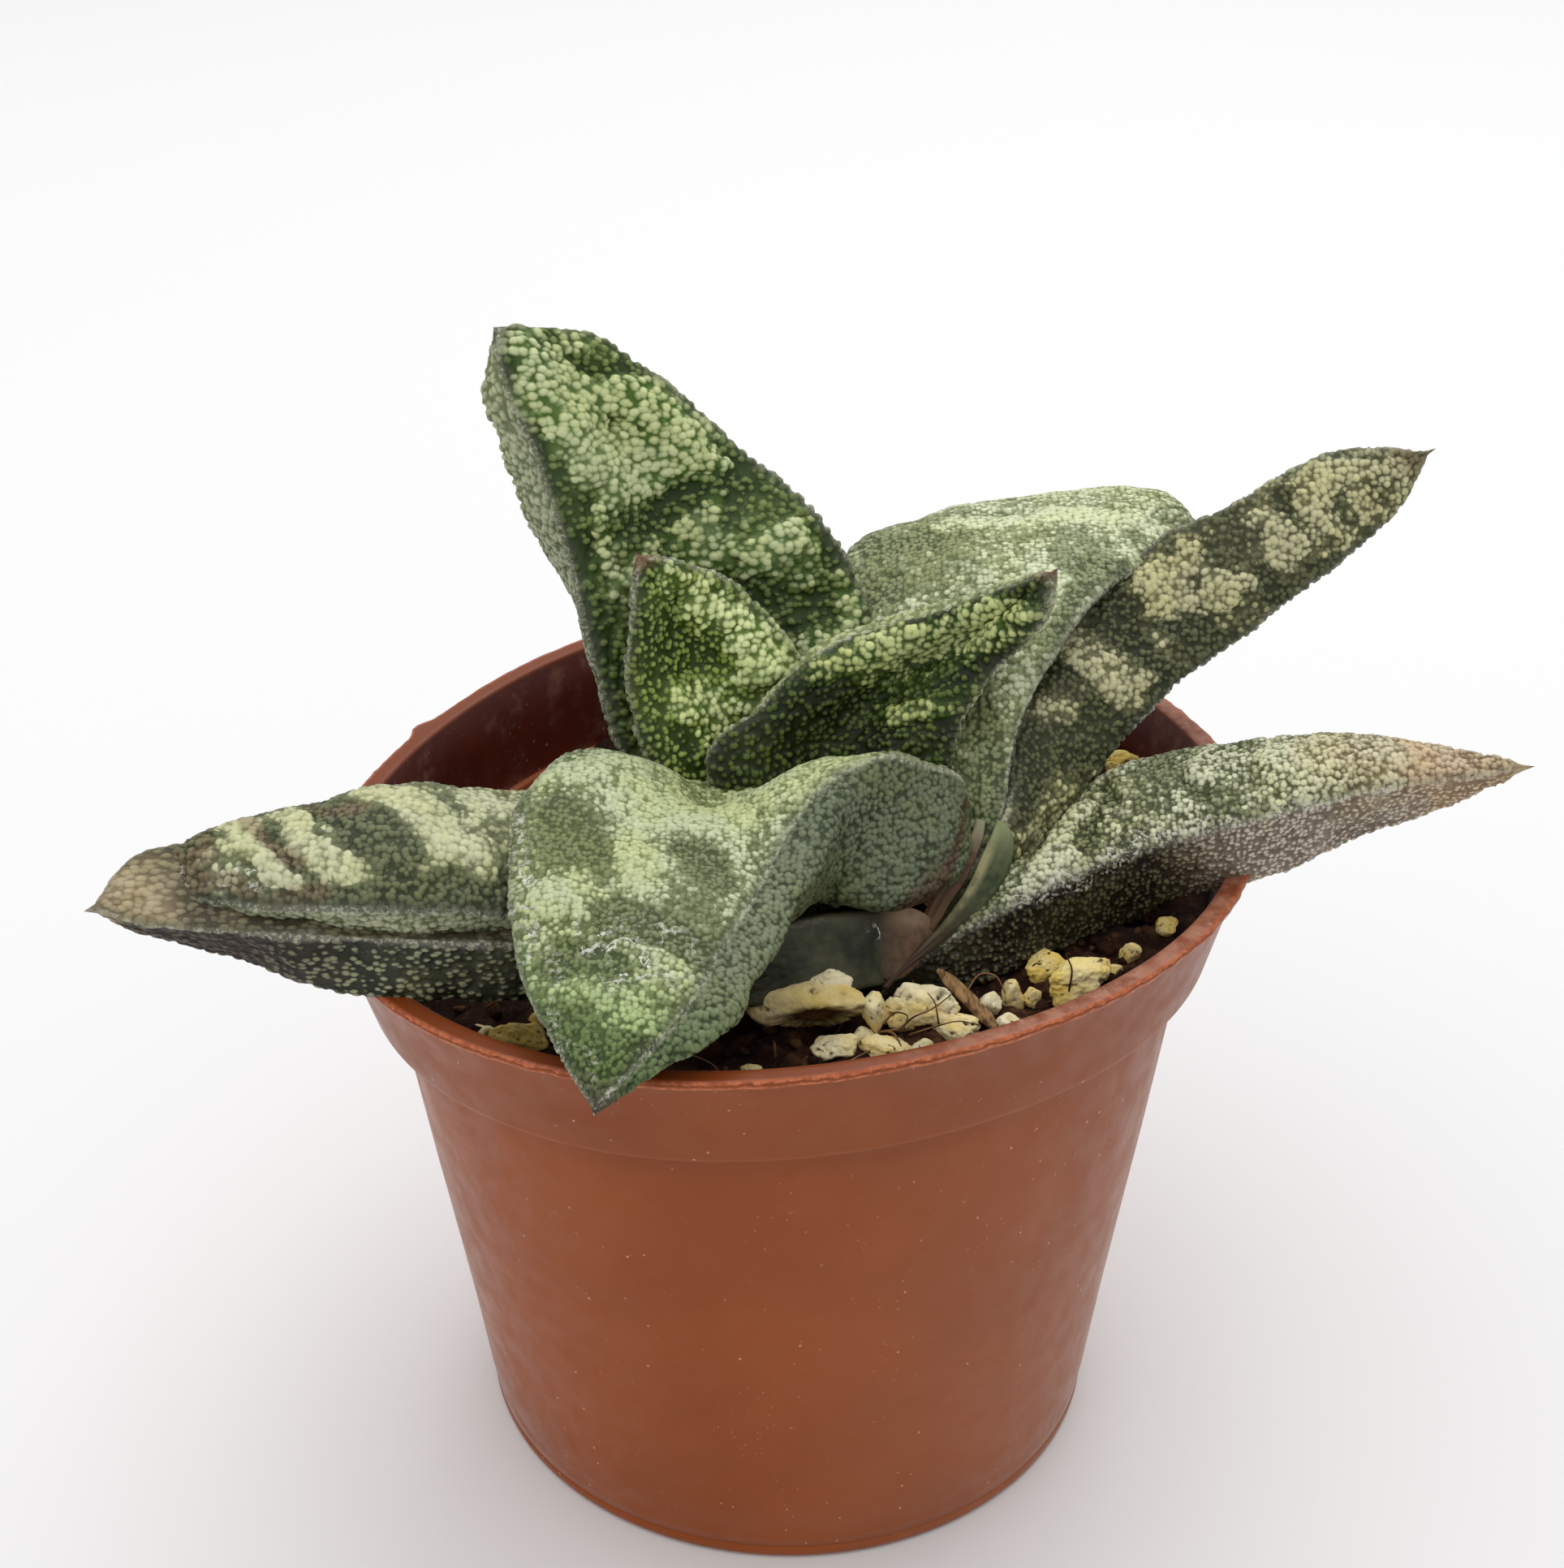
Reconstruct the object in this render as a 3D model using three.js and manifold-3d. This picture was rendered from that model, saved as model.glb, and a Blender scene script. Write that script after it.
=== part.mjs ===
// A potted gasteria: nine thick, warty leaves in two ranks on a short stem,
// standing in peat with pumice grains in a thin plastic nursery pot.
// Millimetres, +Z up; the pot stands on z = 0 with its axis on the Z axis, and its front faces -Y.
import * as THREE from "three";
import { mergeVertices } from "three/addons/utils/BufferGeometryUtils.js";
import Module from "manifold-3d";

const wasm = await Module();
wasm.setup();

// ---- driving dimensions -------------------------------------------------
const CLEARANCE = 0.35; // gap kept between pieces that touch

const POT_HEIGHT = 65;
const LIP_RADIUS = 42.5; // outside
const LIP_WIDTH = 1.9; // flat ring on top
const LIP_FLANGE = 0.5; // thin edge that stands out from the collar
const COLLAR_FOOT = 54.5; // height where the collar ends in a step
const COLLAR_RADIUS = 39.4; // outside, at the collar's foot
const BODY_RADIUS = 37.3; // outside, just under the collar
const FOOT_HEIGHT = 4.7; // upright band round the foot
const FOOT_RADIUS = 30.9;
const WALL = 1.2;
const FLOOR = 2;
const POT_SEGMENTS = 48;
const DRAIN_RADIUS = 4;
const DRAIN_CIRCLE = 19;
const DRAIN_COUNT = 4;

// The thin rim is squeezed out of round; the foot is not.
const OVAL_SHARE = 0.06;
const OVAL_ANGLE = THREE.MathUtils.degToRad(49);
const LOBE_SHARE = 0.027;
const LOBE_ANGLE = THREE.MathUtils.degToRad(-18.6);

const SOIL_LEVEL = 56.6; // on the axis
const SOIL_SLOPE = 0.09; // rises towards +X
const SOIL_BUMP = 0.6;
const SOIL_CELLS = 14;

const STEM_CENTRE = [12.5, -12.5];
const STEM_RADIUS = 3.2;
const STEM_FOOT = 38;
const STEM_TOP = 63;

const WART_HEIGHT = 0.35;
const WARTS_BEGIN = [0.08, 0.3]; // shares of the leaf's length between which the warts rise from nothing
const CHANNEL_SHARE = 0.4; // half-width of the channel as a share of the leaf's
const MARGIN_BLUNTNESS = 0.75; // 1 is a sharp ellipse, less is blunter
const FULL_EDGE_HALF_WIDTH = 3; // a leaf narrower than this has a thinner edge too
const FLARE_DEPTH = 0.55; // the flare is whole where v is below minus this
const TIP_SPINE = 0.6; // the small horny point past the margins

// ---- materials ----------------------------------------------------------
const plastic = (color) => new THREE.MeshStandardMaterial({ color, roughness: 0.5, metalness: 0 });
const natural = (color, roughness) => new THREE.MeshStandardMaterial({ color, roughness, metalness: 0 });

// ---- solids -------------------------------------------------------------
function solidFrom(positions, triangles) {
  const make = (order) =>
    new wasm.Manifold(
      new wasm.Mesh({
        numProp: 3,
        vertProperties: new Float32Array(positions),
        triVerts: new Uint32Array(order),
      }),
    );
  const solid = make(triangles);
  return solid.volume() > 0 ? solid : make([...triangles].reverse());
}

function solidOf(geometry) {
  geometry.deleteAttribute("normal");
  geometry.deleteAttribute("uv");
  const merged = mergeVertices(geometry, 1e-4);
  return solidFrom(merged.attributes.position.array, merged.index.array);
}

function largestBody(solid) {
  const bodies = solid.decompose();
  bodies.sort((a, b) => b.volume() - a.volume());
  return bodies[0];
}

function meshOf(name, solid, material) {
  const data = solid.getMesh();
  const geometry = new THREE.BufferGeometry();
  geometry.setAttribute("position", new THREE.BufferAttribute(data.vertProperties, 3));
  geometry.setIndex(new THREE.BufferAttribute(data.triVerts, 1));
  geometry.computeVertexNormals();
  const mesh = new THREE.Mesh(geometry, material);
  mesh.name = name;
  return mesh;
}

// ---- pot ----------------------------------------------------------------
function outOfRound(angle, height) {
  const share = THREE.MathUtils.clamp(height / POT_HEIGHT, 0, 1);
  const oval = OVAL_SHARE * Math.cos(2 * (angle - OVAL_ANGLE));
  const lobe = LOBE_SHARE * Math.cos(3 * (angle - LOBE_ANGLE));
  return 1 + share * (oval + lobe);
}

function turned(profile) {
  const points = profile.map(([r, z]) => new THREE.Vector2(r, z));
  const geometry = new THREE.LatheGeometry(points, POT_SEGMENTS).rotateX(Math.PI / 2);
  const at = geometry.attributes.position;
  for (let i = 0; i < at.count; i++) {
    const stretch = outOfRound(Math.atan2(at.getY(i), at.getX(i)), at.getZ(i));
    at.setXY(i, at.getX(i) * stretch, at.getY(i) * stretch);
  }
  return solidOf(geometry);
}

// Inside radius of the wall at each height where its slope changes, from the floor up.
const INSIDE = [
  [FOOT_RADIUS - WALL, FLOOR],
  [BODY_RADIUS - WALL, COLLAR_FOOT - 0.6],
  [COLLAR_RADIUS - WALL, COLLAR_FOOT],
  [LIP_RADIUS - LIP_WIDTH, POT_HEIGHT],
];

function potSolid() {
  const outside = [
    [0, 0],
    [FOOT_RADIUS - 0.9, 0],
    [FOOT_RADIUS - 0.2, 0.7],
    [FOOT_RADIUS, FOOT_HEIGHT],
    [BODY_RADIUS, COLLAR_FOOT - 0.2],
    [COLLAR_RADIUS, COLLAR_FOOT],
    [LIP_RADIUS - LIP_FLANGE, POT_HEIGHT - 1],
    [LIP_RADIUS, POT_HEIGHT - 0.8],
    [LIP_RADIUS, POT_HEIGHT],
  ];
  const pot = turned([...outside, ...[...INSIDE].reverse(), [0, FLOOR]]);
  const drains = Array.from({ length: DRAIN_COUNT }, (_, i) => {
    const angle = ((i + 0.5) * 2 * Math.PI) / DRAIN_COUNT;
    const hole = new THREE.CylinderGeometry(DRAIN_RADIUS, DRAIN_RADIUS, 3 * FLOOR, 20).rotateX(Math.PI / 2);
    return solidOf(hole.translate(DRAIN_CIRCLE * Math.cos(angle), DRAIN_CIRCLE * Math.sin(angle), FLOOR / 2));
  });
  return drains.reduce((body, hole) => body.subtract(hole), pot);
}

// The rim with the clearance round it, which leaves that rest on it are kept out of.
function rimClearance() {
  const reach = CLEARANCE;
  return turned([
    [LIP_RADIUS - LIP_WIDTH - reach, POT_HEIGHT - 4],
    [LIP_RADIUS + reach, POT_HEIGHT - 4],
    [LIP_RADIUS + reach, POT_HEIGHT + reach],
    [LIP_RADIUS - LIP_WIDTH - reach, POT_HEIGHT + reach],
    [LIP_RADIUS - LIP_WIDTH - reach, POT_HEIGHT - 4],
  ]);
}

// ---- leaves -------------------------------------------------------------
// Each leaf is given by its two margins, from base to tip, as seen looking towards the tip with the
// upper face up. belly is the depth of the keeled underside, keel its place across (-1 left margin,
// 1 right margin), channel the groove along the upper face, dome its swelling, flareLeft how far the
// underside swells out past the left margin, edge half the thickness of the margin. Lists run evenly
// from base to tip.
const LEAVES = {
  leaf_upright: {
    left: [[8.5, -12, 57], [-7, -8, 64], [-15, -4.5, 73], [-17.7, -2, 81], [-20, 1, 90], [-22.8, 3, 99],
      [-25.5, 5, 105], [-26, 8, 108.5]],
    right: [[15, -6, 57], [11.5, 0, 70.5], [6.6, 7, 83], [1.9, 9, 90.3], [-4.6, 11, 96], [-12.2, 11, 102.6],
      [-18.5, 11, 107], [-26, 8, 108.5]],
    belly: [3, 5, 5, 5, 5.5, 4, 1], keel: [-0.9, -0.9], channel: [1, 1.5, 1.5, 1, 0],
    dome: [0, 0.5, 0.5, 0], flareLeft: [0, 0, 0, 0, 2, 1.2, 0], edge: 0.8, sharp: 1.5, around: 18,
    along: 30,
  },
  leaf_young_left: {
    left: [[11, -12, 57], [-5.5, -9, 65.5], [-12, -9, 73.5], [-14.5, -7, 81], [-14, -6, 88.5],
      [-13.5, -5, 93]],
    right: [[16, -9, 57], [8, -4, 73], [1, -1, 80.5], [-4.5, 0, 87], [-9, -2, 90.5], [-13.5, -5, 93]],
    belly: [2, 3.5, 3.5, 2, 0.5], keel: [0, 0], channel: [1.5, 2, 2, 1, 0], dome: [0, 0], edge: 0.8,
    sharp: 1.3, around: 12, along: 20,
  },
  leaf_young_right: {
    left: [[9, -13, 57], [-7, -10, 73.5], [-3, -7, 79.5], [3.5, -4, 84], [10, -3, 86], [16.5, -4, 89],
      [22, -8, 93.5]],
    right: [[15, -12, 57], [14, -9, 73.5], [14.5, -8, 78.5], [16.5, -7, 82], [19, -7, 85.5], [21, -8, 89],
      [22, -8, 93.5]],
    belly: [2, 4, 4, 3, 0.5], keel: [0, 0], channel: [2, 4, 4, 2, 0], dome: [0, 0],
    flareLeft: [0, 1, 2, 3, 0], edge: 1.2, sharp: 1.3, around: 12, along: 22,
  },
  leaf_back: {
    left: [[11, -13.5, 61], [7.5, -3, 71], [4.5, 4, 76], [4, 10, 81.5], [6, 16, 84.6], [17, 22, 85.5],
      [31.5, 24, 86.6], [38, 20, 85.5]],
    right: [[12, -14.5, 62], [17.5, -12, 69.5], [20, -6, 77.5], [23.5, -1, 82.5], [27, 4, 85],
      [31.5, 9, 86], [35.5, 15, 86], [38, 20, 85.5]],
    belly: [2, 4, 4, 4, 1], keel: [0.5, 0.5], channel: [1, 1, 0, 0, 0], dome: [0, 1, 1, 0.6, 0], edge: 1.1,
    sharp: 1.3, around: 18, along: 24,
  },
  leaf_upper_right: {
    left: [[8, -18.5, 57], [13, -15.5, 65], [18.5, -11.5, 70.5], [20, -2, 76.5], [23.5, 5, 81.5],
      [31.5, 10, 86.4], [41.5, 12, 91.8], [49.5, 14, 95.3], [58, 14, 95.5]],
    right: [[10, -15, 55.5], [17, -11, 60.5], [23, -6, 64.5], [28, -2, 71], [33.5, 2, 76], [41, 6, 80.5],
      [49, 9, 86], [54.8, 12, 90.2], [58, 14, 95.5]],
    belly: [1, 3, 4, 4, 3, 1], keel: [0.3, 0.3], channel: [0, 0], dome: [0, 0.5, 0.5, 0.5, 0], edge: 1,
    sharp: 1.3, around: 16, along: 28,
  },
  leaf_lower_right: {
    left: [[9, -15, 57.5], [14.5, -12, 61], [19, -8.5, 64.5], [24, -4.5, 67.5], [31, -2, 71],
      [40.5, -3, 74], [49.5, -5, 76], [58, -7, 76], [64.5, -9, 75.5]],
    right: [[8, -18.5, 57], [13, -18, 62], [18.5, -17, 65], [24.5, -14.5, 67], [31, -13, 69],
      [39.5, -12.5, 71.5], [48.5, -11, 73.5], [57.5, -10, 74.5], [64.5, -9, 75.5]],
    belly: [1, 4.5, 6, 7.2, 7.5, 7.8, 7.2, 4.6, 0.5], keel: [0.8, 0.8], channel: [0, 0],
    dome: [0, 0.5, 1, 0.5, 0], edge: 0.8, sharp: 1.3, around: 16, along: 30,
  },
  leaf_front: {
    left: [[15.6, -10.5, 71], [14.3, -12, 75.3], [11.2, -13.5, 77.4], [7.5, -15, 79], [3, -17.5, 78],
      [-0.5, -21.5, 75.2], [-3, -27, 73], [-5.5, -33, 72], [-8.5, -40, 70], [-15, -48, 66.5]],
    right: [[15, -10, 68.5], [12.6, -8.6, 63.8], [7.5, -7, 63.5], [1, -5, 66], [-5.5, -5, 68],
      [-12, -6.5, 70.5], [-18.5, -10.5, 76.8], [-23.3, -21, 76], [-21.5, -36, 71], [-15, -48, 66.5]],
    belly: [1, 6, 9, 9.5, 8, 6.5, 5, 4, 3, 1],
    keel: [-0.2, -0.2, -0.2, -0.2, -0.4, -0.6, -0.6, -0.6, -0.6, 0],
    channel: [0, 0, 0.5, 1.5, 2.5, 2.5, 2, 1, 0, 0], dome: [0, 0.5, 1, 1.5, 2, 2, 1.5, 1, 0.5, 0],
    flareLeft: [0, 0, 0, 0.5, 2.5, 5.5, 6.5, 5.5, 4.5, 0], edge: 0.8, sharp: 1.3, around: 18, along: 34,
  },
  leaf_left_upper: {
    left: [[10, -12, 56], [2, -15, 61], [-8, -19, 64], [-16, -24, 67.5], [-23.5, -28.5, 71.5],
      [-32.5, -31, 73.5], [-41.5, -30, 73], [-49, -28, 72.5], [-51.5, -26, 73.5]],
    right: [[12, -5, 56], [2, -4, 62], [-8, -5, 67], [-16, -8, 71], [-24, -14, 74.5], [-33, -18, 77.5],
      [-41.5, -20, 76.5], [-49, -22, 75.5], [-51.5, -26, 73.5]],
    belly: [2, 3, 3.5, 4, 5, 5.5, 5, 4, 1], keel: [-0.8, -0.8], channel: [0, 0],
    dome: [0, 0.5, 1, 1.5, 1.5, 1, 0], edge: 0.9, sharp: 1.3, around: 16, along: 30,
  },
  leaf_left_lower: {
    left: [[9.5, -17.5, 57.5], [12, -16, 62.5], [6, -19.5, 66], [-4, -24, 67], [-15, -27.5, 68],
      [-25, -30, 69.5], [-34.5, -31, 70.5], [-44.5, -31, 71], [-52, -30, 71], [-57.5, -29, 72]],
    right: [[10, -14, 57], [12, -12, 59.5], [6, -13, 61], [-4, -15, 61], [-15, -18, 64.5], [-25, -20, 67],
      [-35.5, -21, 69], [-44.5, -22, 73.5], [-53.5, -24.5, 74.6], [-57.5, -29, 72]],
    belly: [1, 4, 6, 6, 5.5, 5.2, 4.8, 3, 1.6, 0.5], keel: [-0.8, -0.8], channel: [0, 0], dome: [0, 0],
    edge: 0.8, sharp: 1.3, around: 16, along: 30,
  },
};

const PROFILES = ["belly", "keel", "channel", "dome", "flareLeft"];

// Where leaves press on each other, the one named earlier keeps its shape.
const FRONT_TO_BACK = [
  "leaf_front", "leaf_lower_right", "leaf_left_upper", "leaf_left_lower", "leaf_young_right",
  "leaf_young_left", "leaf_upper_right", "leaf_back", "leaf_upright",
];

const GREENS = {
  leaf_upright: 0x47662f, leaf_young_left: 0x5c7c38, leaf_young_right: 0x58803a, leaf_back: 0x64774f,
  leaf_upper_right: 0x5d6349, leaf_lower_right: 0x6d6f55, leaf_front: 0x647652, leaf_left_upper: 0x5b6350,
  leaf_left_lower: 0x4d4a40,
};

function smoothThrough(values) {
  const points = values.map((value) => new THREE.Vector3(value, 0, 0));
  const curve = new THREE.CatmullRomCurve3(points, false, "catmullrom", 0.5);
  return (t) => curve.getPoint(t).x;
}

function marginCurve(points) {
  const corners = points.map((point) => new THREE.Vector3(...point));
  return new THREE.CatmullRomCurve3(corners, false, "catmullrom", 0.5);
}

// Height of the closed section above the line from margin to margin; u runs from -1 to 1 across.
function sectionHeight(u, v, half, at) {
  const fullness = Math.min(1, half / FULL_EDGE_HALF_WIDTH);
  const rim = at.edge * fullness * Math.sign(v) * Math.abs(v) ** MARGIN_BLUNTNESS;
  if (v >= 0) {
    const groove = at.channel * fullness * Math.exp(-((u / CHANNEL_SHARE) ** 2));
    return rim + at.dome * v * v - groove;
  }
  const reach = u > at.keel ? (u - at.keel) / (1 - at.keel) : (at.keel - u) / (1 + at.keel);
  return rim - at.belly * Math.max(0, 1 - Math.hypot(reach, 0.1) ** at.sharp);
}

// Rings of points round the leaf, from base to tip, swollen by grow in the plane of each section.
function leafRings(leaf, grow) {
  const left = marginCurve(leaf.left);
  const right = marginCurve(leaf.right);
  const lists = { flareLeft: [0, 0], ...leaf };
  const profiles = PROFILES.map((key) => [key, smoothThrough(lists[key])]);
  const middle = (t) => left.getPoint(t).add(right.getPoint(t)).multiplyScalar(0.5);
  const step = 1 / leaf.along;
  const rings = [];
  for (let i = 0; i < leaf.along; i++) {
    const t = i * step;
    const centre = middle(t);
    const across = right.getPoint(t).sub(left.getPoint(t));
    const half = across.length() / 2;
    across.normalize();
    const forward = middle(Math.min(1, t + step)).sub(middle(Math.max(0, t - step))).normalize();
    const up = across.clone().cross(forward).normalize();
    const at = Object.fromEntries(profiles.map(([key, value]) => [key, value(t)]));
    Object.assign(at, { edge: leaf.edge, sharp: leaf.sharp });
    const ring = [];
    for (let j = 0; j < leaf.around; j++) {
      const angle = (j * 2 * Math.PI) / leaf.around;
      const u = Math.cos(angle);
      const v = Math.sin(angle);
      const height = sectionHeight(u, v, half, at) + grow * v;
      const flare = u < 0 && v < 0 ? at.flareLeft * THREE.MathUtils.smoothstep(-v, 0, FLARE_DEPTH) : 0;
      const sideways = (half + grow + flare) * u;
      ring.push(centre.clone().addScaledVector(across, sideways).addScaledVector(up, height));
    }
    rings.push(ring);
  }
  const end = middle(1);
  const forward = end.clone().sub(middle(1 - step)).normalize();
  return { rings, tip: end.addScaledVector(forward, TIP_SPINE + grow) };
}

// Warts: every second point of the grid is raised, in staggered rows, so each is a four-sided boss.
function raiseWarts(rings) {
  const outward = (i, j) => {
    const around = rings[i].length;
    const alongside = rings[i][(j + 1) % around].clone().sub(rings[i][(j + around - 1) % around]);
    const lengthwise = rings[i + 1][j].clone().sub(rings[i - 1][j]);
    return lengthwise.cross(alongside).normalize();
  };
  const raised = rings.map((ring) => ring.map((point) => point.clone()));
  for (let i = 1; i < rings.length - 1; i++) {
    const fade = THREE.MathUtils.smoothstep(i / rings.length, ...WARTS_BEGIN);
    for (let j = i % 2; j < rings[i].length; j += 2) {
      raised[i][j].addScaledVector(outward(i, j), -WART_HEIGHT * fade);
    }
  }
  return raised;
}

function leafSolid(rings, tip) {
  const around = rings[0].length;
  const positions = [];
  rings.flat().forEach((point) => positions.push(point.x, point.y, point.z));
  const base = rings[0].reduce((sum, point) => sum.add(point), new THREE.Vector3()).divideScalar(around);
  positions.push(base.x, base.y, base.z, tip.x, tip.y, tip.z);
  const baseIndex = rings.length * around;
  const tipIndex = baseIndex + 1;
  const triangles = [];
  for (let j = 0; j < around; j++) {
    const next = (j + 1) % around;
    const last = (rings.length - 1) * around;
    triangles.push(baseIndex, next, j, tipIndex, last + j, last + next);
    for (let i = 0; i < rings.length - 1; i++) {
      const [a, b, c, d] = [i * around + j, i * around + next, (i + 1) * around + j, (i + 1) * around + next];
      if ((i + j) % 2) triangles.push(a, b, c, b, d, c);
      else triangles.push(a, b, d, a, d, c);
    }
  }
  return solidFrom(positions, triangles);
}

function makeLeaf(leaf) {
  const { rings, tip } = leafRings(leaf, 0);
  const swollen = leafRings(leaf, CLEARANCE + WART_HEIGHT);
  return {
    solid: leafSolid(raiseWarts(rings), tip),
    clearance: leafSolid(swollen.rings, swollen.tip),
  };
}

// ---- stem ---------------------------------------------------------------
function stemSolid(grow) {
  const points = [
    [0, STEM_FOOT - grow],
    [STEM_RADIUS * 0.7 + grow, STEM_FOOT - grow],
    [STEM_RADIUS + grow, STEM_FOOT + 6],
    [STEM_RADIUS + grow, STEM_TOP - 4],
    [STEM_RADIUS * 0.5 + grow, STEM_TOP + grow],
    [0, STEM_TOP + grow],
  ].map(([r, z]) => new THREE.Vector2(r, z));
  const geometry = new THREE.LatheGeometry(points, 12).rotateX(Math.PI / 2);
  return solidOf(geometry.translate(STEM_CENTRE[0], STEM_CENTRE[1], 0));
}

// ---- pumice grains ------------------------------------------------------
// Each bank is a row of grains that bite into each other: x and y on the soil, how far the centre
// stands above it, and the half-lengths along X, Y and Z.
const PUMICE = {
  pumice_front: [
    [3.5, -21, 2.8, 2, 1.3, 1.4], [7.3, -23.4, 1.2, 1.3, 1.4, 2.1], [12, -24.5, 0.7, 4.6, 2.5, 2.4],
    [3.8, -27.7, 0.4, 2.5, 1.8, 1.5], [8.2, -27.6, 0.5, 2.3, 2, 1.4], [0.3, -28.6, 0, 1.3, 1.1, 1],
    [17.3, -22.9, 0.5, 1.4, 1.4, 1.5], [19.2, -21.4, 0.5, 1.3, 1.4, 1.8], [18.8, -24.3, 0.2, 1.3, 1.2, 1],
    [21, -20.6, 0.5, 1.2, 1.2, 1.2],
  ],
  pumice_right: [
    [25, -20.6, 0.8, 3.4, 2.1, 2], [22.5, -17.6, 0.6, 2.1, 1.7, 1.7], [27.8, -18.6, 0.3, 1.3, 1.2, 1.1],
  ],
  pumice_rim_near: [[30, -16, 0.3, 1.1, 1.1, 1.4]],
  pumice_rim_far: [[33.4, -12.1, 0.3, 1.2, 1.1, 1.2]],
  pumice_back: [[33.2, 18.7, 0.2, 1.8, 1.3, 1.1], [31.8, 16.8, 0, 1.1, 1.1, 0.9]],
  pumice_left: [[-26.5, -19.6, 0.3, 2, 1.7, 1.5], [-23.8, -21.8, 0.4, 1.9, 1.8, 1.6]],
};
const PUMICE_COLOURS = {
  pumice_front: 0xd2bd7c, pumice_right: 0xcfb45c, pumice_rim_near: 0xd0b868, pumice_rim_far: 0xb58f4a,
  pumice_back: 0xc7a14a, pumice_left: 0xc9a848,
};
// A large broken shell of pumice stands over the front bank: a bowl on its side, open to the front.
const PUMICE_SHELL = { centre: [1.8, -22, 58.8], radii: [5, 2.6, 3.2], hollow: [0, -1.6, -1.4] };

// A splinter of bark leans on the front bank, from its upper end to its lower.
const SPLINTER = { from: [12.9, -20.6, 61], to: [17.6, -26, 58.6], width: 1.3, thickness: 0.7 };

// Small seeded generator, so every run places the same grains.
function seeded(seed) {
  let state = seed;
  return () => {
    state = (state * 1664525 + 1013904223) % 4294967296;
    return state / 4294967296;
  };
}

function soilTop(x, y) {
  const across = Math.sin(0.55 * x + 1.1 * Math.sin(0.31 * y));
  const lengthwise = Math.cos(0.62 * y - 0.9 * Math.sin(0.27 * x));
  return SOIL_LEVEL + SOIL_SLOPE * x + SOIL_BUMP * across * lengthwise;
}

// A broken lump with its half-lengths swollen by grow.
function lump(centre, radii, random, grow) {
  const geometry = new THREE.IcosahedronGeometry(1, 1);
  geometry.deleteAttribute("normal");
  geometry.deleteAttribute("uv");
  const rough = mergeVertices(geometry, 1e-4);
  const at = rough.attributes.position;
  for (let i = 0; i < at.count; i++) {
    const swell = 0.85 + 0.3 * random();
    at.setXYZ(i, swell * at.getX(i), swell * at.getY(i), swell * at.getZ(i));
  }
  const reach = radii.map((radius) => radius + 1.2 * grow);
  rough.scale(...reach).translate(...centre);
  return solidFrom(at.array, rough.index.array);
}

function pumiceShell(random, grow) {
  const { centre, radii, hollow } = PUMICE_SHELL;
  const hollowCentre = centre.map((value, axis) => value + hollow[axis]);
  const hollowRadii = radii.map((radius) => radius - 0.9);
  const outer = lump(centre, radii, random, grow);
  return outer.subtract(lump(hollowCentre, hollowRadii, random, -grow));
}

function pumiceBank(name, grow) {
  const random = seeded(name.length);
  const grains = PUMICE[name].map(([x, y, rise, ...radii]) =>
    lump([x, y, soilTop(x, y) + rise], radii, random, grow),
  );
  if (name === "pumice_front") grains.push(pumiceShell(random, grow));
  return grains.reduce((bank, grain) => bank.add(grain));
}

function splinter(grow) {
  const from = new THREE.Vector3(...SPLINTER.from);
  const to = new THREE.Vector3(...SPLINTER.to);
  const length = from.distanceTo(to) + 2 * grow;
  const width = SPLINTER.width + 2 * grow;
  const thickness = SPLINTER.thickness + 2 * grow;
  const stick = new THREE.CylinderGeometry(0.5, 0.7, length, 6).scale(width, 1, thickness);
  const along = new THREE.Vector3().subVectors(from, to).normalize();
  stick.applyQuaternion(new THREE.Quaternion().setFromUnitVectors(new THREE.Vector3(0, 1, 0), along));
  const middle = from.clone().lerp(to, 0.5);
  return solidOf(stick.translate(middle.x, middle.y, middle.z));
}

// ---- soil ---------------------------------------------------------------
// The inside of the pot, less the clearance, cut off by the uneven surface of the peat.
function soilSolid() {
  const inner = INSIDE.map(([r, z]) => [r - CLEARANCE, z]);
  inner[0][1] += CLEARANCE;
  inner[1][1] += CLEARANCE;
  inner[2][1] += CLEARANCE;
  const filling = turned([[0, FLOOR + CLEARANCE], ...inner, [0, POT_HEIGHT]]);
  const width = 2 * LIP_RADIUS * 1.15;
  const block = new THREE.BoxGeometry(width, width, SOIL_LEVEL, SOIL_CELLS, SOIL_CELLS, 1);
  block.translate(0, 0, SOIL_LEVEL / 2);
  const at = block.attributes.position;
  for (let i = 0; i < at.count; i++) {
    if (at.getZ(i) > SOIL_LEVEL / 2) at.setZ(i, soilTop(at.getX(i), at.getY(i)));
  }
  return filling.intersect(solidOf(block));
}

// ---- assembly -----------------------------------------------------------
const gasteria = new THREE.Group();

gasteria.add(meshOf("pot", potSolid(), plastic(0x9c5233)));

const stem = stemSolid(0);
const keepOut = [stemSolid(CLEARANCE), rimClearance()];
for (const name of FRONT_TO_BACK) {
  const { solid, clearance } = makeLeaf(LEAVES[name]);
  const trimmed = keepOut.reduce((leaf, other) => leaf.subtract(other), solid);
  gasteria.add(meshOf(name, largestBody(trimmed), natural(GREENS[name], 0.5)));
  keepOut.push(clearance);
}
gasteria.add(meshOf("stem", stem, natural(0x6b5a3a, 0.8)));

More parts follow.
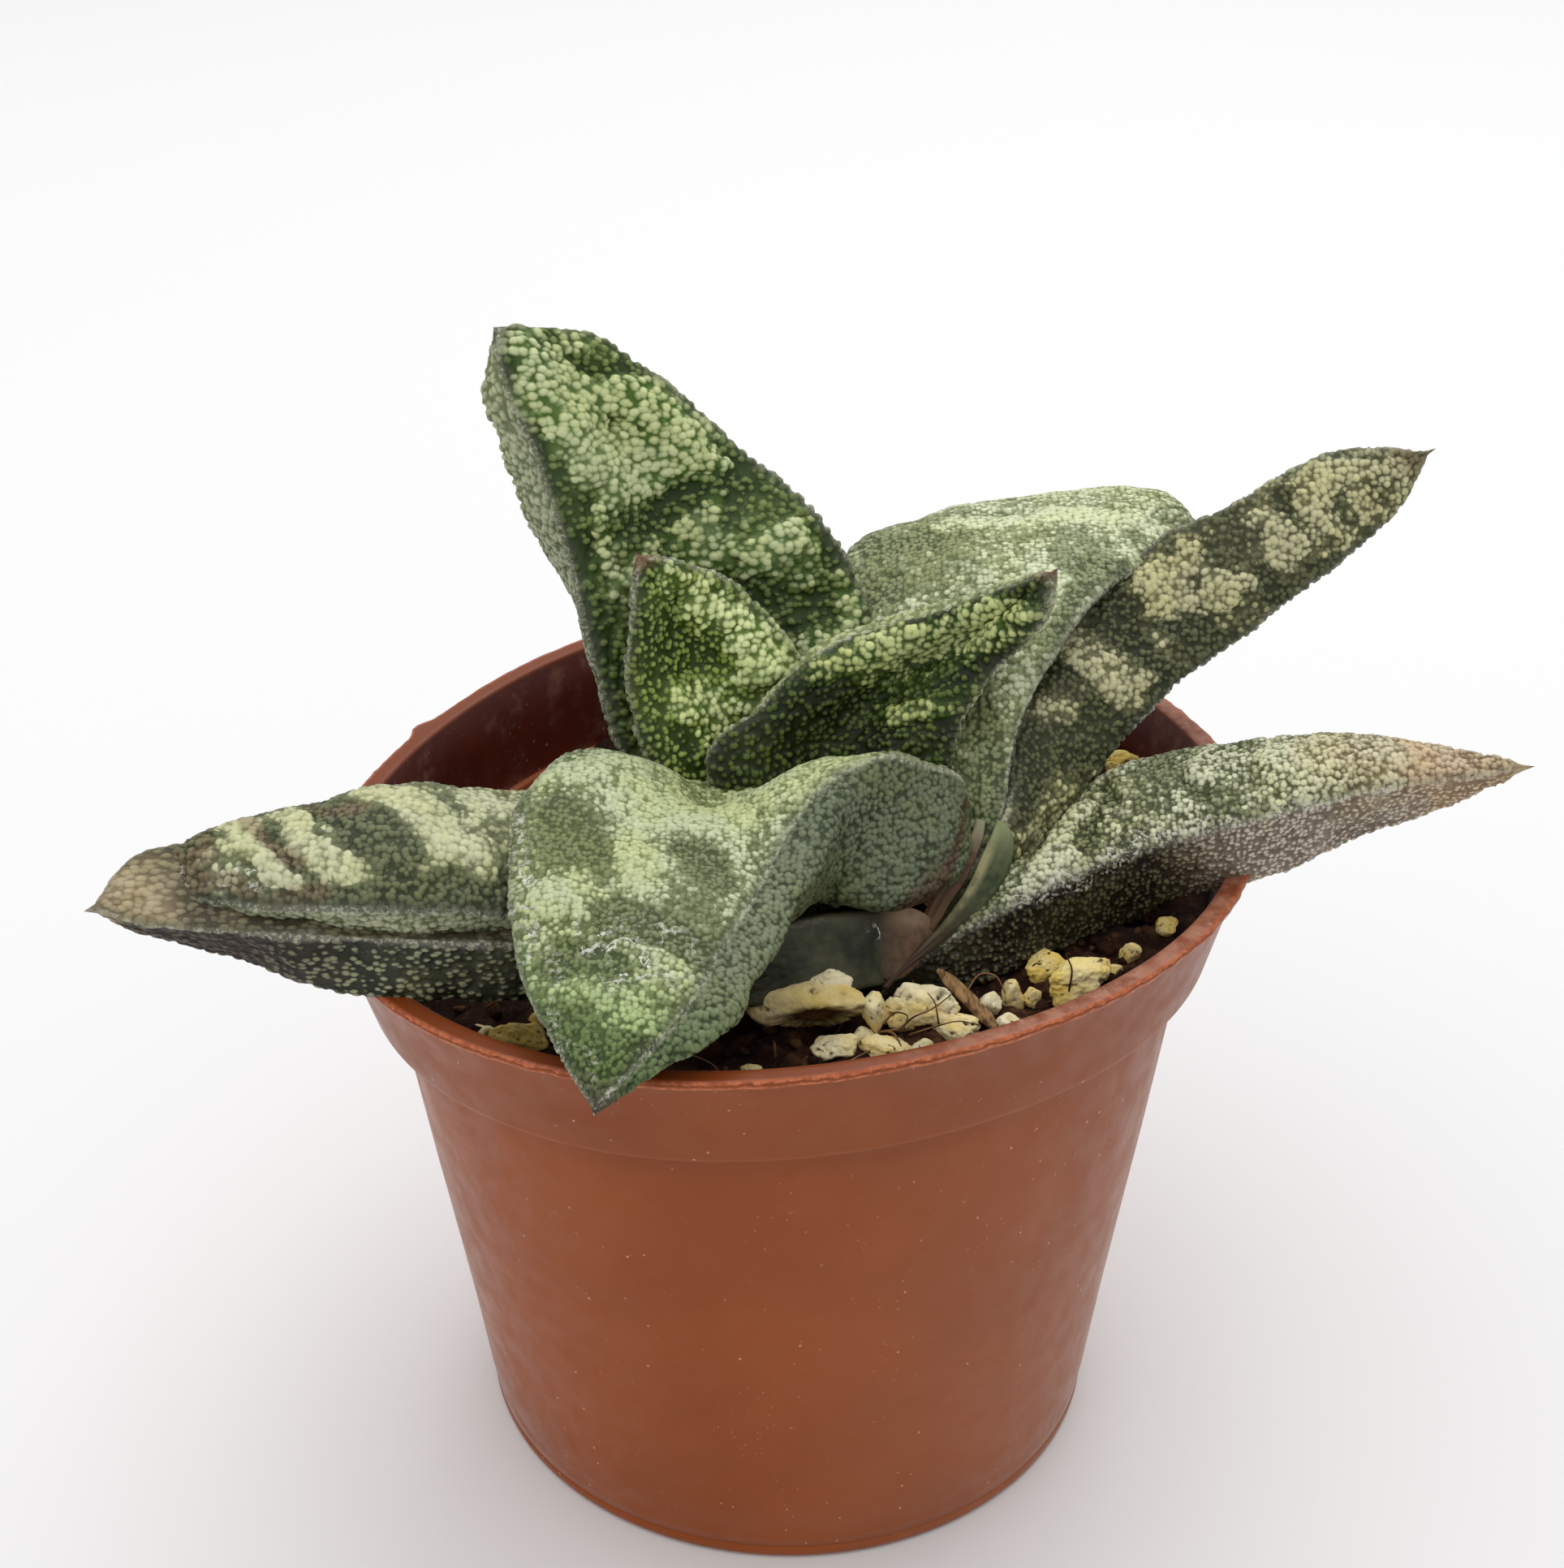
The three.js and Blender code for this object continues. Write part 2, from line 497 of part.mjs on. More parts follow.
// The rim's clearance is left out here: the peat and the grains keep inside it by their own sizes.
const rooted = keepOut.filter((_, i) => i !== 1);
gasteria.add(meshOf("splinter", splinter(0), natural(0x7a6344, 0.85)));
rooted.push(splinter(CLEARANCE));
const grainClearances = [];
for (const name of Object.keys(PUMICE)) {
  const bank = rooted.reduce((grains, other) => grains.subtract(other), pumiceBank(name, 0));
  gasteria.add(meshOf(name, largestBody(bank), natural(PUMICE_COLOURS[name], 0.9)));
  grainClearances.push(pumiceBank(name, CLEARANCE));
}
const peat = [...rooted, ...grainClearances].reduce((left, other) => left.subtract(other), soilSolid());
gasteria.add(meshOf("soil", largestBody(peat), natural(0x2e1e15, 0.95)));

export default gasteria;
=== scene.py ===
"""A gasteria in its nursery pot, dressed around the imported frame.

Lengths are in millimetres until a mesh is made, and in metres inside the materials.
"""

import math

import bmesh
import bpy
import numpy as np
from mathutils import Matrix, Vector


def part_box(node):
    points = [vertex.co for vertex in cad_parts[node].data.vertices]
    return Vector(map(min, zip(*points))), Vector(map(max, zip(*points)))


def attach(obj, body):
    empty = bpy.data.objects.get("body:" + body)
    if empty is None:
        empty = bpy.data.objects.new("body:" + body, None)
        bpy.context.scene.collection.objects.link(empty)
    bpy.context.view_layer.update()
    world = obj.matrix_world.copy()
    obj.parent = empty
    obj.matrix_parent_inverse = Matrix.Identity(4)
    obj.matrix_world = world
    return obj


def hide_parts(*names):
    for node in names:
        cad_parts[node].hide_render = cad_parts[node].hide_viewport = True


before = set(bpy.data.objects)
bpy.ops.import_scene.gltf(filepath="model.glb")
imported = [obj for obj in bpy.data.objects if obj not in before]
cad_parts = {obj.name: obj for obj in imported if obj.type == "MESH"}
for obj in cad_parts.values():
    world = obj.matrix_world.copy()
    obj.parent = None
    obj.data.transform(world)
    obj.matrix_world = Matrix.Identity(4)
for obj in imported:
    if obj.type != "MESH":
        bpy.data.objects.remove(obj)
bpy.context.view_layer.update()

MM = 0.001

# ---- camera -------------------------------------------------------------
CAMERA_PLACE = (0.0, -207.5, 188.4)
CAMERA_YAW, CAMERA_PITCH, CAMERA_ROLL = -0.005, 0.527, 0.008
CAMERA_LENS, CAMERA_SENSOR = 59.65, 36.0

# ---- light --------------------------------------------------------------
HORIZON_GLOW, ZENITH_GLOW = 0.62, 0.72
BACKDROP_GLOW = 0.92  # what the camera sees past the floor
FLOOR_REACH = 3000.0
FLOOR_SHADES = (0.854, 0.856, 0.858), (0.874, 0.876, 0.878)
SOFTBOXES = (  # name, place, aim, size (metres) and power
    ("key", (-0.2, -0.05, 1.0), (0, 0, 0.06), 1.4, 4.5),
    ("back", (0.25, 0.55, 0.9), (0, 0.1, 0.06), 0.8, 2.8),
)

# ---- noise --------------------------------------------------------------
HASH_PRIMES = (2654435761, 2246822519, 3266489917)
HASH_START, HASH_STIR, HASH_SPREAD = 374761393, 668265263, 2246822519
LARGEST_HASH = 4294967295.0
OCTAVE_SHIFT = 17.3


def hashed(seed, *cells):
    """A number from 0 to 1 for each lattice cell, always the same for the same seed."""
    shape = np.broadcast(*cells).shape
    mixed = np.full(shape, (seed * HASH_SPREAD + HASH_START) % 2**32, np.uint32)
    for prime, cell in zip(HASH_PRIMES, cells):
        mixed = mixed ^ (np.asarray(cell, np.int64).astype(np.uint32) * np.uint32(prime))
        mixed = mixed * np.uint32(HASH_STIR)
        mixed = mixed ^ (mixed >> np.uint32(15))
    mixed = mixed * np.uint32(HASH_SPREAD)
    mixed = mixed ^ (mixed >> np.uint32(13))
    return mixed / LARGEST_HASH


def smooth_noise(points, seed):
    """Value noise from 0 to 1 at points of 2 or 3 coordinates, with one cell to a unit."""
    cell = np.floor(points).astype(np.int64)
    part = points - cell
    part = part * part * (3 - 2 * part)
    total = np.zeros(points.shape[:-1])
    for corner in np.ndindex((2,) * points.shape[-1]):
        weight = np.prod(np.where(np.array(corner, bool), part, 1 - part), axis=-1)
        total += weight * hashed(seed, *[cell[..., k] + corner[k] for k in range(len(corner))])
    return total


def cloud(points, seed, octaves=3):
    """Layered noise, about -1 to 1."""
    total, share = 0.0, 1.0
    for octave in range(octaves):
        total = total + share * (2 * smooth_noise(points * 2**octave + OCTAVE_SHIFT * octave, seed + octave) - 1)
        share *= 0.5
    return total


def step(value, low, high):
    """Smooth step from 0 at low to 1 at high."""
    x = np.clip((value - low) / (high - low), 0, 1)
    return x * x * (3 - 2 * x)


def through(values, at):
    """The smooth curve through evenly spaced values (numbers or points), at places from 0 to 1."""
    rows = np.asarray(values, float)
    rows = rows.reshape(len(rows), -1)
    last = len(rows) - 1
    padded = np.vstack([2 * rows[0] - rows[1], rows, 2 * rows[-1] - rows[-2]])
    x = np.clip(np.asarray(at, float), 0, 1) * last
    index = np.minimum(x.astype(int), last - 1)
    f = (x - index)[:, None]
    p0, p1, p2, p3 = (padded[index + k] for k in range(4))
    square, cube = 2 * p0 - 5 * p1 + 4 * p2 - p3, 3 * p1 - p0 - 3 * p2 + p3
    return 0.5 * (2 * p1 + (p2 - p0) * f + square * f**2 + cube * f**3)


# ---- mesh helpers -------------------------------------------------------
def mesh_object(name, points, faces, material, smooth=True, layers=None):
    """A mesh from points in millimetres, with colour layers of four numbers to a point."""
    mesh = bpy.data.meshes.new(name)
    points = np.asarray(points, float)
    mesh.from_pydata((points * MM).tolist(), [], [list(map(int, face)) for face in faces])
    for layer, values in (layers or {}).items():
        attribute = mesh.attributes.new(layer, "FLOAT_COLOR", "POINT")
        attribute.data.foreach_set("color", np.asarray(values, np.float32).ravel())
    mesh.materials.append(material)
    mesh.update()
    mesh.shade_smooth() if smooth else mesh.shade_flat()
    obj = bpy.data.objects.new(name, mesh)
    bpy.context.scene.collection.objects.link(obj)
    return obj


def grid_faces(rows, columns):
    """Quads of a grid of points that closes on itself across its columns."""
    i, j = np.meshgrid(np.arange(rows - 1), np.arange(columns), indexing="ij")
    row, above, k = i * columns, (i + 1) * columns, (j + 1) % columns
    return np.stack([row + j, row + k, above + k, above + j], -1).reshape(-1, 4).tolist()


def fan_faces(ring, tip):
    """Triangles from a ring of points to one point."""
    return [(a, b, tip) for a, b in zip(ring, np.roll(ring, -1))]


def tube_faces(rows, sides):
    """Quads along a tube, and a flat face at each end."""
    count = rows * sides
    return grid_faces(rows, sides) + [tuple(range(sides))[::-1], tuple(range(count - sides, count))]


def add_part(points, faces, part, part_faces):
    """Adds a part to the lists of points and faces of a mesh of many parts."""
    start = sum(map(len, points))
    faces += [[index + start for index in face] for face in part_faces]
    points.append(part)


def round_path(radius, angle, height):
    """Points at a radius and an angle about the Z axis."""
    return np.stack([radius * np.cos(angle), radius * np.sin(angle), height], -1)


def full_turn(count):
    """Even angles all the way round."""
    return np.arange(count) * 2 * math.pi / count


def carried(obj, slot, *nodes):
    """The object on the part's one body, and the nodes that it stands for hidden; the slot is not used."""
    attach(obj, "root")
    if nodes:
        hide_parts(*nodes)
    return obj


# ---- material helpers ---------------------------------------------------
class Nodes:
    """A node tree that grows one call at a time; each call gives the socket it makes."""

    def __init__(self, tree):
        self.tree = tree

    def put(self, socket, value):
        if isinstance(value, bpy.types.NodeSocket):
            self.tree.links.new(value, socket)
        elif isinstance(value, (tuple, list)) and len(value) == 3 and socket.type == "RGBA":
            socket.default_value = (*value, 1.0)
        else:
            socket.default_value = value

    def math(self, operation, a, b=0.0, clamp=False):
        node = self.tree.nodes.new("ShaderNodeMath")
        node.operation, node.use_clamp = operation, clamp
        self.put(node.inputs[0], a)
        self.put(node.inputs[1], b)
        return node.outputs[0]

    def times(self, a, b):
        return self.math("MULTIPLY", a, b)

    def plus(self, a, b):
        return self.math("ADD", a, b)

    def rest(self, a):
        """What is left of one."""
        return self.math("SUBTRACT", 1.0, a)

    def mix(self, factor, a, b, blend="MIX"):
        node = self.tree.nodes.new("ShaderNodeMix")
        node.data_type, node.blend_type = "RGBA", blend
        self.put(node.inputs[0], factor)
        self.put(node.inputs[6], a)
        self.put(node.inputs[7], b)
        return node.outputs[2]

    def band(self, value, low, high, start=0.0, end=1.0):
        """start below low, end above high, and a smooth change between."""
        node = self.tree.nodes.new("ShaderNodeMapRange")
        node.interpolation_type = "SMOOTHSTEP"
        for index, number in enumerate((value, low, high, start, end)):
            self.put(node.inputs[index], number)
        return node.outputs[0]

    def split(self, vector):
        node = self.tree.nodes.new("ShaderNodeSeparateXYZ")
        self.put(node.inputs[0], vector)
        return tuple(node.outputs)

    def moved(self, place, by):
        """A place moved by a vector, or by the same way of a vector socket."""
        node = self.tree.nodes.new("ShaderNodeVectorMath")
        node.operation = "ADD"
        self.put(node.inputs[0], place)
        self.put(node.inputs[1], by)
        return node.outputs[0]

    def warped(self, place, size, reach):
        """A place moved a little, each way by up to half the reach, smoothly over lengths of the given size."""
        noise = self.tree.nodes.new("ShaderNodeTexNoise")
        self.put(noise.inputs["Vector"], place)
        self.put(noise.inputs["Scale"], 1 / size)
        self.put(noise.inputs["Detail"], 1.0)
        node = self.tree.nodes.new("ShaderNodeVectorMath")
        node.operation = "SCALE"
        self.put(node.inputs[0], self.moved(noise.outputs["Color"], (-0.5, -0.5, -0.5)))
        self.put(node.inputs["Scale"], 2 * reach)
        return self.moved(place, node.outputs[0])

    def scatter(self, place, pitch, randomness):
        """Scattered points in space: the distance to the nearest in pitches, and two random numbers of it."""
        node = self.tree.nodes.new("ShaderNodeTexVoronoi")
        self.put(node.inputs["Vector"], place)
        self.put(node.inputs["Scale"], 1 / pitch)
        self.put(node.inputs["Randomness"], randomness)
        return (node.outputs["Distance"], *self.split(node.outputs["Color"])[:2])


class Paint(Nodes):
    """A material's nodes, around its shader."""

    def __init__(self, name, roughness=0.5, **uniform):
        self.material = bpy.data.materials.new(name)
        self.material.use_nodes = True
        super().__init__(self.material.node_tree)
        self.shader = self.tree.nodes["Principled BSDF"]
        self.shader.inputs["Roughness"].default_value = roughness
        for socket, value in uniform.items():
            self.shader.inputs[socket.replace("_", " ")].default_value = value
        self.place = self.tree.nodes.new("ShaderNodeTexCoord").outputs["Object"]

    def stretch(self, scale, turn=(0, 0, 0)):
        """The place, turned and scaled, for a grain that runs one way."""
        node = self.tree.nodes.new("ShaderNodeMapping")
        self.put(node.inputs["Vector"], self.place)
        self.put(node.inputs["Scale"], scale)
        self.put(node.inputs["Rotation"], turn)
        return node.outputs[0]

    def noise(self, size_mm, detail=3.0, rough=0.55, place=None):
        """Soft noise from 0 to 1, with features of about the given size."""
        node = self.tree.nodes.new("ShaderNodeTexNoise")
        self.put(node.inputs["Vector"], place or self.place)
        self.put(node.inputs["Scale"], 1000.0 / size_mm)
        self.put(node.inputs["Detail"], detail)
        self.put(node.inputs["Roughness"], rough)
        return node.outputs["Fac"]

    def cells(self, size_mm):
        """The distance to the nearest of scattered points."""
        node = self.tree.nodes.new("ShaderNodeTexVoronoi")
        self.put(node.inputs["Vector"], self.place)
        self.put(node.inputs["Scale"], 1000.0 / size_mm)
        return node.outputs["Distance"]

    def attribute(self, name):
        node = self.tree.nodes.new("ShaderNodeAttribute")
        node.attribute_name = name
        return node.outputs

    def layer(self, name):
        """The four numbers of a colour layer of the mesh."""
        outputs = self.attribute(name)
        return (*self.split(outputs["Color"]), outputs["Alpha"])

    def height(self):
        """Height over the ground, in metres."""
        return self.split(self.place)[2]

    def bump(self, height, distance_mm, strength=1.0):
        node = self.tree.nodes.new("ShaderNodeBump")
        self.put(node.inputs["Height"], height)
        node.inputs["Distance"].default_value = distance_mm * MM
        node.inputs["Strength"].default_value = strength
        self.tree.links.new(node.outputs[0], self.shader.inputs["Normal"])

    def done(self, colour, roughness=None):
        """The finished material."""
        self.put(self.shader.inputs["Base Color"], colour)
        if roughness is not None:
            self.put(self.shader.inputs["Roughness"], roughness)
        return self.material


def srgb(*values):
    """Linear colour from 0-255 display values."""
    return tuple(((v / 255 + 0.055) / 1.055) ** 2.4 if v > 10 else v / 3294.6 for v in values)


# ---- leaves -------------------------------------------------------------
# The same margins and sections as the solids: left and right margins from base to tip, the depth of the
# keeled underside (belly), the keel's place across, the groove (channel) and the swelling (dome) of the upper
# face, the widening of the underside past the left margin (flare), the thickness at the margins (edge) and
# how sharp the keel is. Each list of numbers is spread evenly from base to tip.
LEAVES = {
    "leaf_upright": dict(
        left=[[8.5, -12, 57], [-7, -8, 64], [-15, -4.5, 73], [-17.7, -2, 81], [-20, 1, 90], [-22.8, 3, 99],
              [-25.5, 5, 105], [-26, 8, 108.5]],
        right=[[15, -6, 57], [11.5, 0, 70.5], [6.6, 7, 83], [1.9, 9, 90.3], [-4.6, 11, 96], [-12.2, 11, 102.6],
               [-18.5, 11, 107], [-26, 8, 108.5]], belly=[3, 5, 5, 5, 5.5, 4, 1], keel=[-0.9, -0.9],
        channel=[1, 1.5, 1.5, 1, 0], dome=[0, 0.5, 0.5, 0], flare=[0, 0, 0, 0, 2, 1.2, 0], edge=0.8, sharp=1.5),
    "leaf_young_left": dict(
        left=[[11, -12, 57], [-5.5, -9, 65.5], [-12, -9, 73.5], [-14.5, -7, 81], [-14, -6, 88.5], [-13.5, -5, 93]],
        right=[[16, -9, 57], [8, -4, 73], [1, -1, 80.5], [-4.5, 0, 87], [-9, -2, 90.5], [-13.5, -5, 93]],
        belly=[2, 3.5, 3.5, 2, 0.5], keel=[0, 0], channel=[1.5, 2, 2, 1, 0], dome=[0, 0], edge=0.8, sharp=1.3),
    "leaf_young_right": dict(
        left=[[9, -13, 57], [-7, -10, 73.5], [-3, -7, 79.5], [3.5, -4, 84], [10, -3, 86], [16.5, -4, 89],
              [22, -8, 93.5]],
        right=[[15, -12, 57], [14, -9, 73.5], [14.5, -8, 78.5], [16.5, -7, 82], [19, -7, 85.5], [21, -8, 89],
               [22, -8, 93.5]], belly=[2, 4, 4, 3, 0.5], keel=[0, 0], channel=[2, 4, 4, 2, 0], dome=[0, 0],
        flare=[0, 1, 2, 3, 0], edge=1.2, sharp=1.3),
    "leaf_back": dict(
        left=[[11, -13.5, 61], [7.5, -3, 71], [4.5, 4, 76], [4, 10, 81.5], [6, 16, 84.6], [17, 22, 85.5],
              [31.5, 24, 86.6], [38, 20, 85.5]],
        right=[[12, -14.5, 62], [17.5, -12, 69.5], [20, -6, 77.5], [23.5, -1, 82.5], [27, 4, 85], [31.5, 9, 86],
               [35.5, 15, 86], [38, 20, 85.5]], belly=[2, 4, 4, 4, 1], keel=[0.5, 0.5], channel=[1, 1, 0, 0, 0],
        dome=[0, 1, 1, 0.6, 0], edge=1.1, sharp=1.3),
    "leaf_upper_right": dict(
        left=[[8, -18.5, 57], [13, -15.5, 65], [18.5, -11.5, 70.5], [20, -2, 76.5], [23.5, 5, 81.5],
              [31.5, 10, 86.4], [41.5, 12, 91.8], [49.5, 14, 95.3], [58, 14, 95.5]],
        right=[[10, -15, 55.5], [17, -11, 60.5], [23, -6, 64.5], [28, -2, 71], [33.5, 2, 76], [41, 6, 80.5],
               [49, 9, 86], [54.8, 12, 90.2], [58, 14, 95.5]], belly=[1, 3, 4, 4, 3, 1], keel=[0.3, 0.3],
        channel=[0, 0], dome=[0, 0.5, 0.5, 0.5, 0], edge=1, sharp=1.3),
    "leaf_lower_right": dict(
        left=[[9, -15, 57.5], [14.5, -12, 61], [19, -8.5, 64.5], [24, -4.5, 67.5], [31, -2, 71], [40.5, -3, 74],
              [49.5, -5, 76], [58, -7, 76], [64.5, -9, 75.5]],
        right=[[8, -18.5, 57], [13, -18, 62], [18.5, -17, 65], [24.5, -14.5, 67], [31, -13, 69], [39.5, -12.5, 71.5],
               [48.5, -11, 73.5], [57.5, -10, 74.5], [64.5, -9, 75.5]],
        belly=[1, 4.5, 6, 7.2, 7.5, 7.8, 7.2, 4.6, 0.5], keel=[0.8, 0.8], channel=[0, 0], dome=[0, 0.5, 1, 0.5, 0],
        edge=0.8, sharp=1.3),
    "leaf_front": dict(
        left=[[15.6, -10.5, 71], [14.3, -12, 75.3], [11.2, -13.5, 77.4], [7.5, -15, 79], [3, -17.5, 78],
              [-0.5, -21.5, 75.2], [-3, -27, 73], [-5.5, -33, 72], [-8.5, -40, 70], [-15, -48, 66.5]],
        right=[[15, -10, 68.5], [12.6, -8.6, 63.8], [7.5, -7, 63.5], [1, -5, 66], [-5.5, -5, 68], [-12, -6.5, 70.5],
               [-18.5, -10.5, 76.8], [-23.3, -21, 76], [-21.5, -36, 71], [-15, -48, 66.5]],
        belly=[1, 7, 10.4, 11, 9.4, 7, 5, 4, 3, 1], keel=[-0.2, -0.2, -0.2, -0.2, -0.4, -0.6, -0.6, -0.6, -0.6, 0],
        channel=[0, 0, 0.5, 1.5, 2.5, 2.5, 2, 1, 0, 0], dome=[0, 0.5, 1, 1.5, 2, 2, 1.5, 1, 0.5, 0],
        flare=[0, 0, 0, 0.5, 2.5, 5.5, 6.5, 5.5, 4.5, 0], edge=0.8, sharp=1.3),
    "leaf_left_upper": dict(
        left=[[10, -12, 56], [2, -15, 61], [-8, -19, 64], [-16, -24, 67.5], [-23.5, -28.5, 71.5], [-32.5, -31, 73.5],
              [-41.5, -30, 73], [-49, -28, 72.5], [-52.6, -26.4, 73.1]],
        right=[[12, -5, 56], [2, -4, 62], [-8, -5, 67], [-16, -8, 71], [-24, -14, 74.5], [-33, -18, 77.5],
               [-41.5, -20, 76.5], [-49, -22.4, 75.2], [-52.6, -26.4, 73.1]], belly=[2, 3, 3.5, 4, 5, 5.5, 5, 4, 1],
        keel=[-0.8, -0.8], channel=[0, 0], dome=[0, 0.5, 1, 1.5, 1.5, 1, 0], edge=0.9, sharp=1.3),
    "leaf_left_lower": dict(
        left=[[9.5, -17.5, 57.5], [12, -16, 62.5], [6, -19.5, 66], [-4, -24, 67], [-15, -27.5, 68], [-25, -30, 69.5],
              [-34.5, -31, 70.5], [-44.5, -31, 71], [-52, -30, 71], [-57.5, -29, 72]],
        right=[[10, -14, 57], [12, -12, 59.5], [6, -13, 61], [-4, -15, 61], [-15, -18, 64.5], [-25, -20, 67],
               [-35.5, -21, 69], [-44.5, -22, 73.5], [-53.5, -24.5, 74.6], [-57.5, -29, 72]],
        belly=[1, 4, 6, 6, 5.4, 5.0, 5.0, 4.3, 2.9, 0.5], keel=[-0.8, -0.8], channel=[0, 0], dome=[0, 0], edge=0.8,
        sharp=1.3),
}
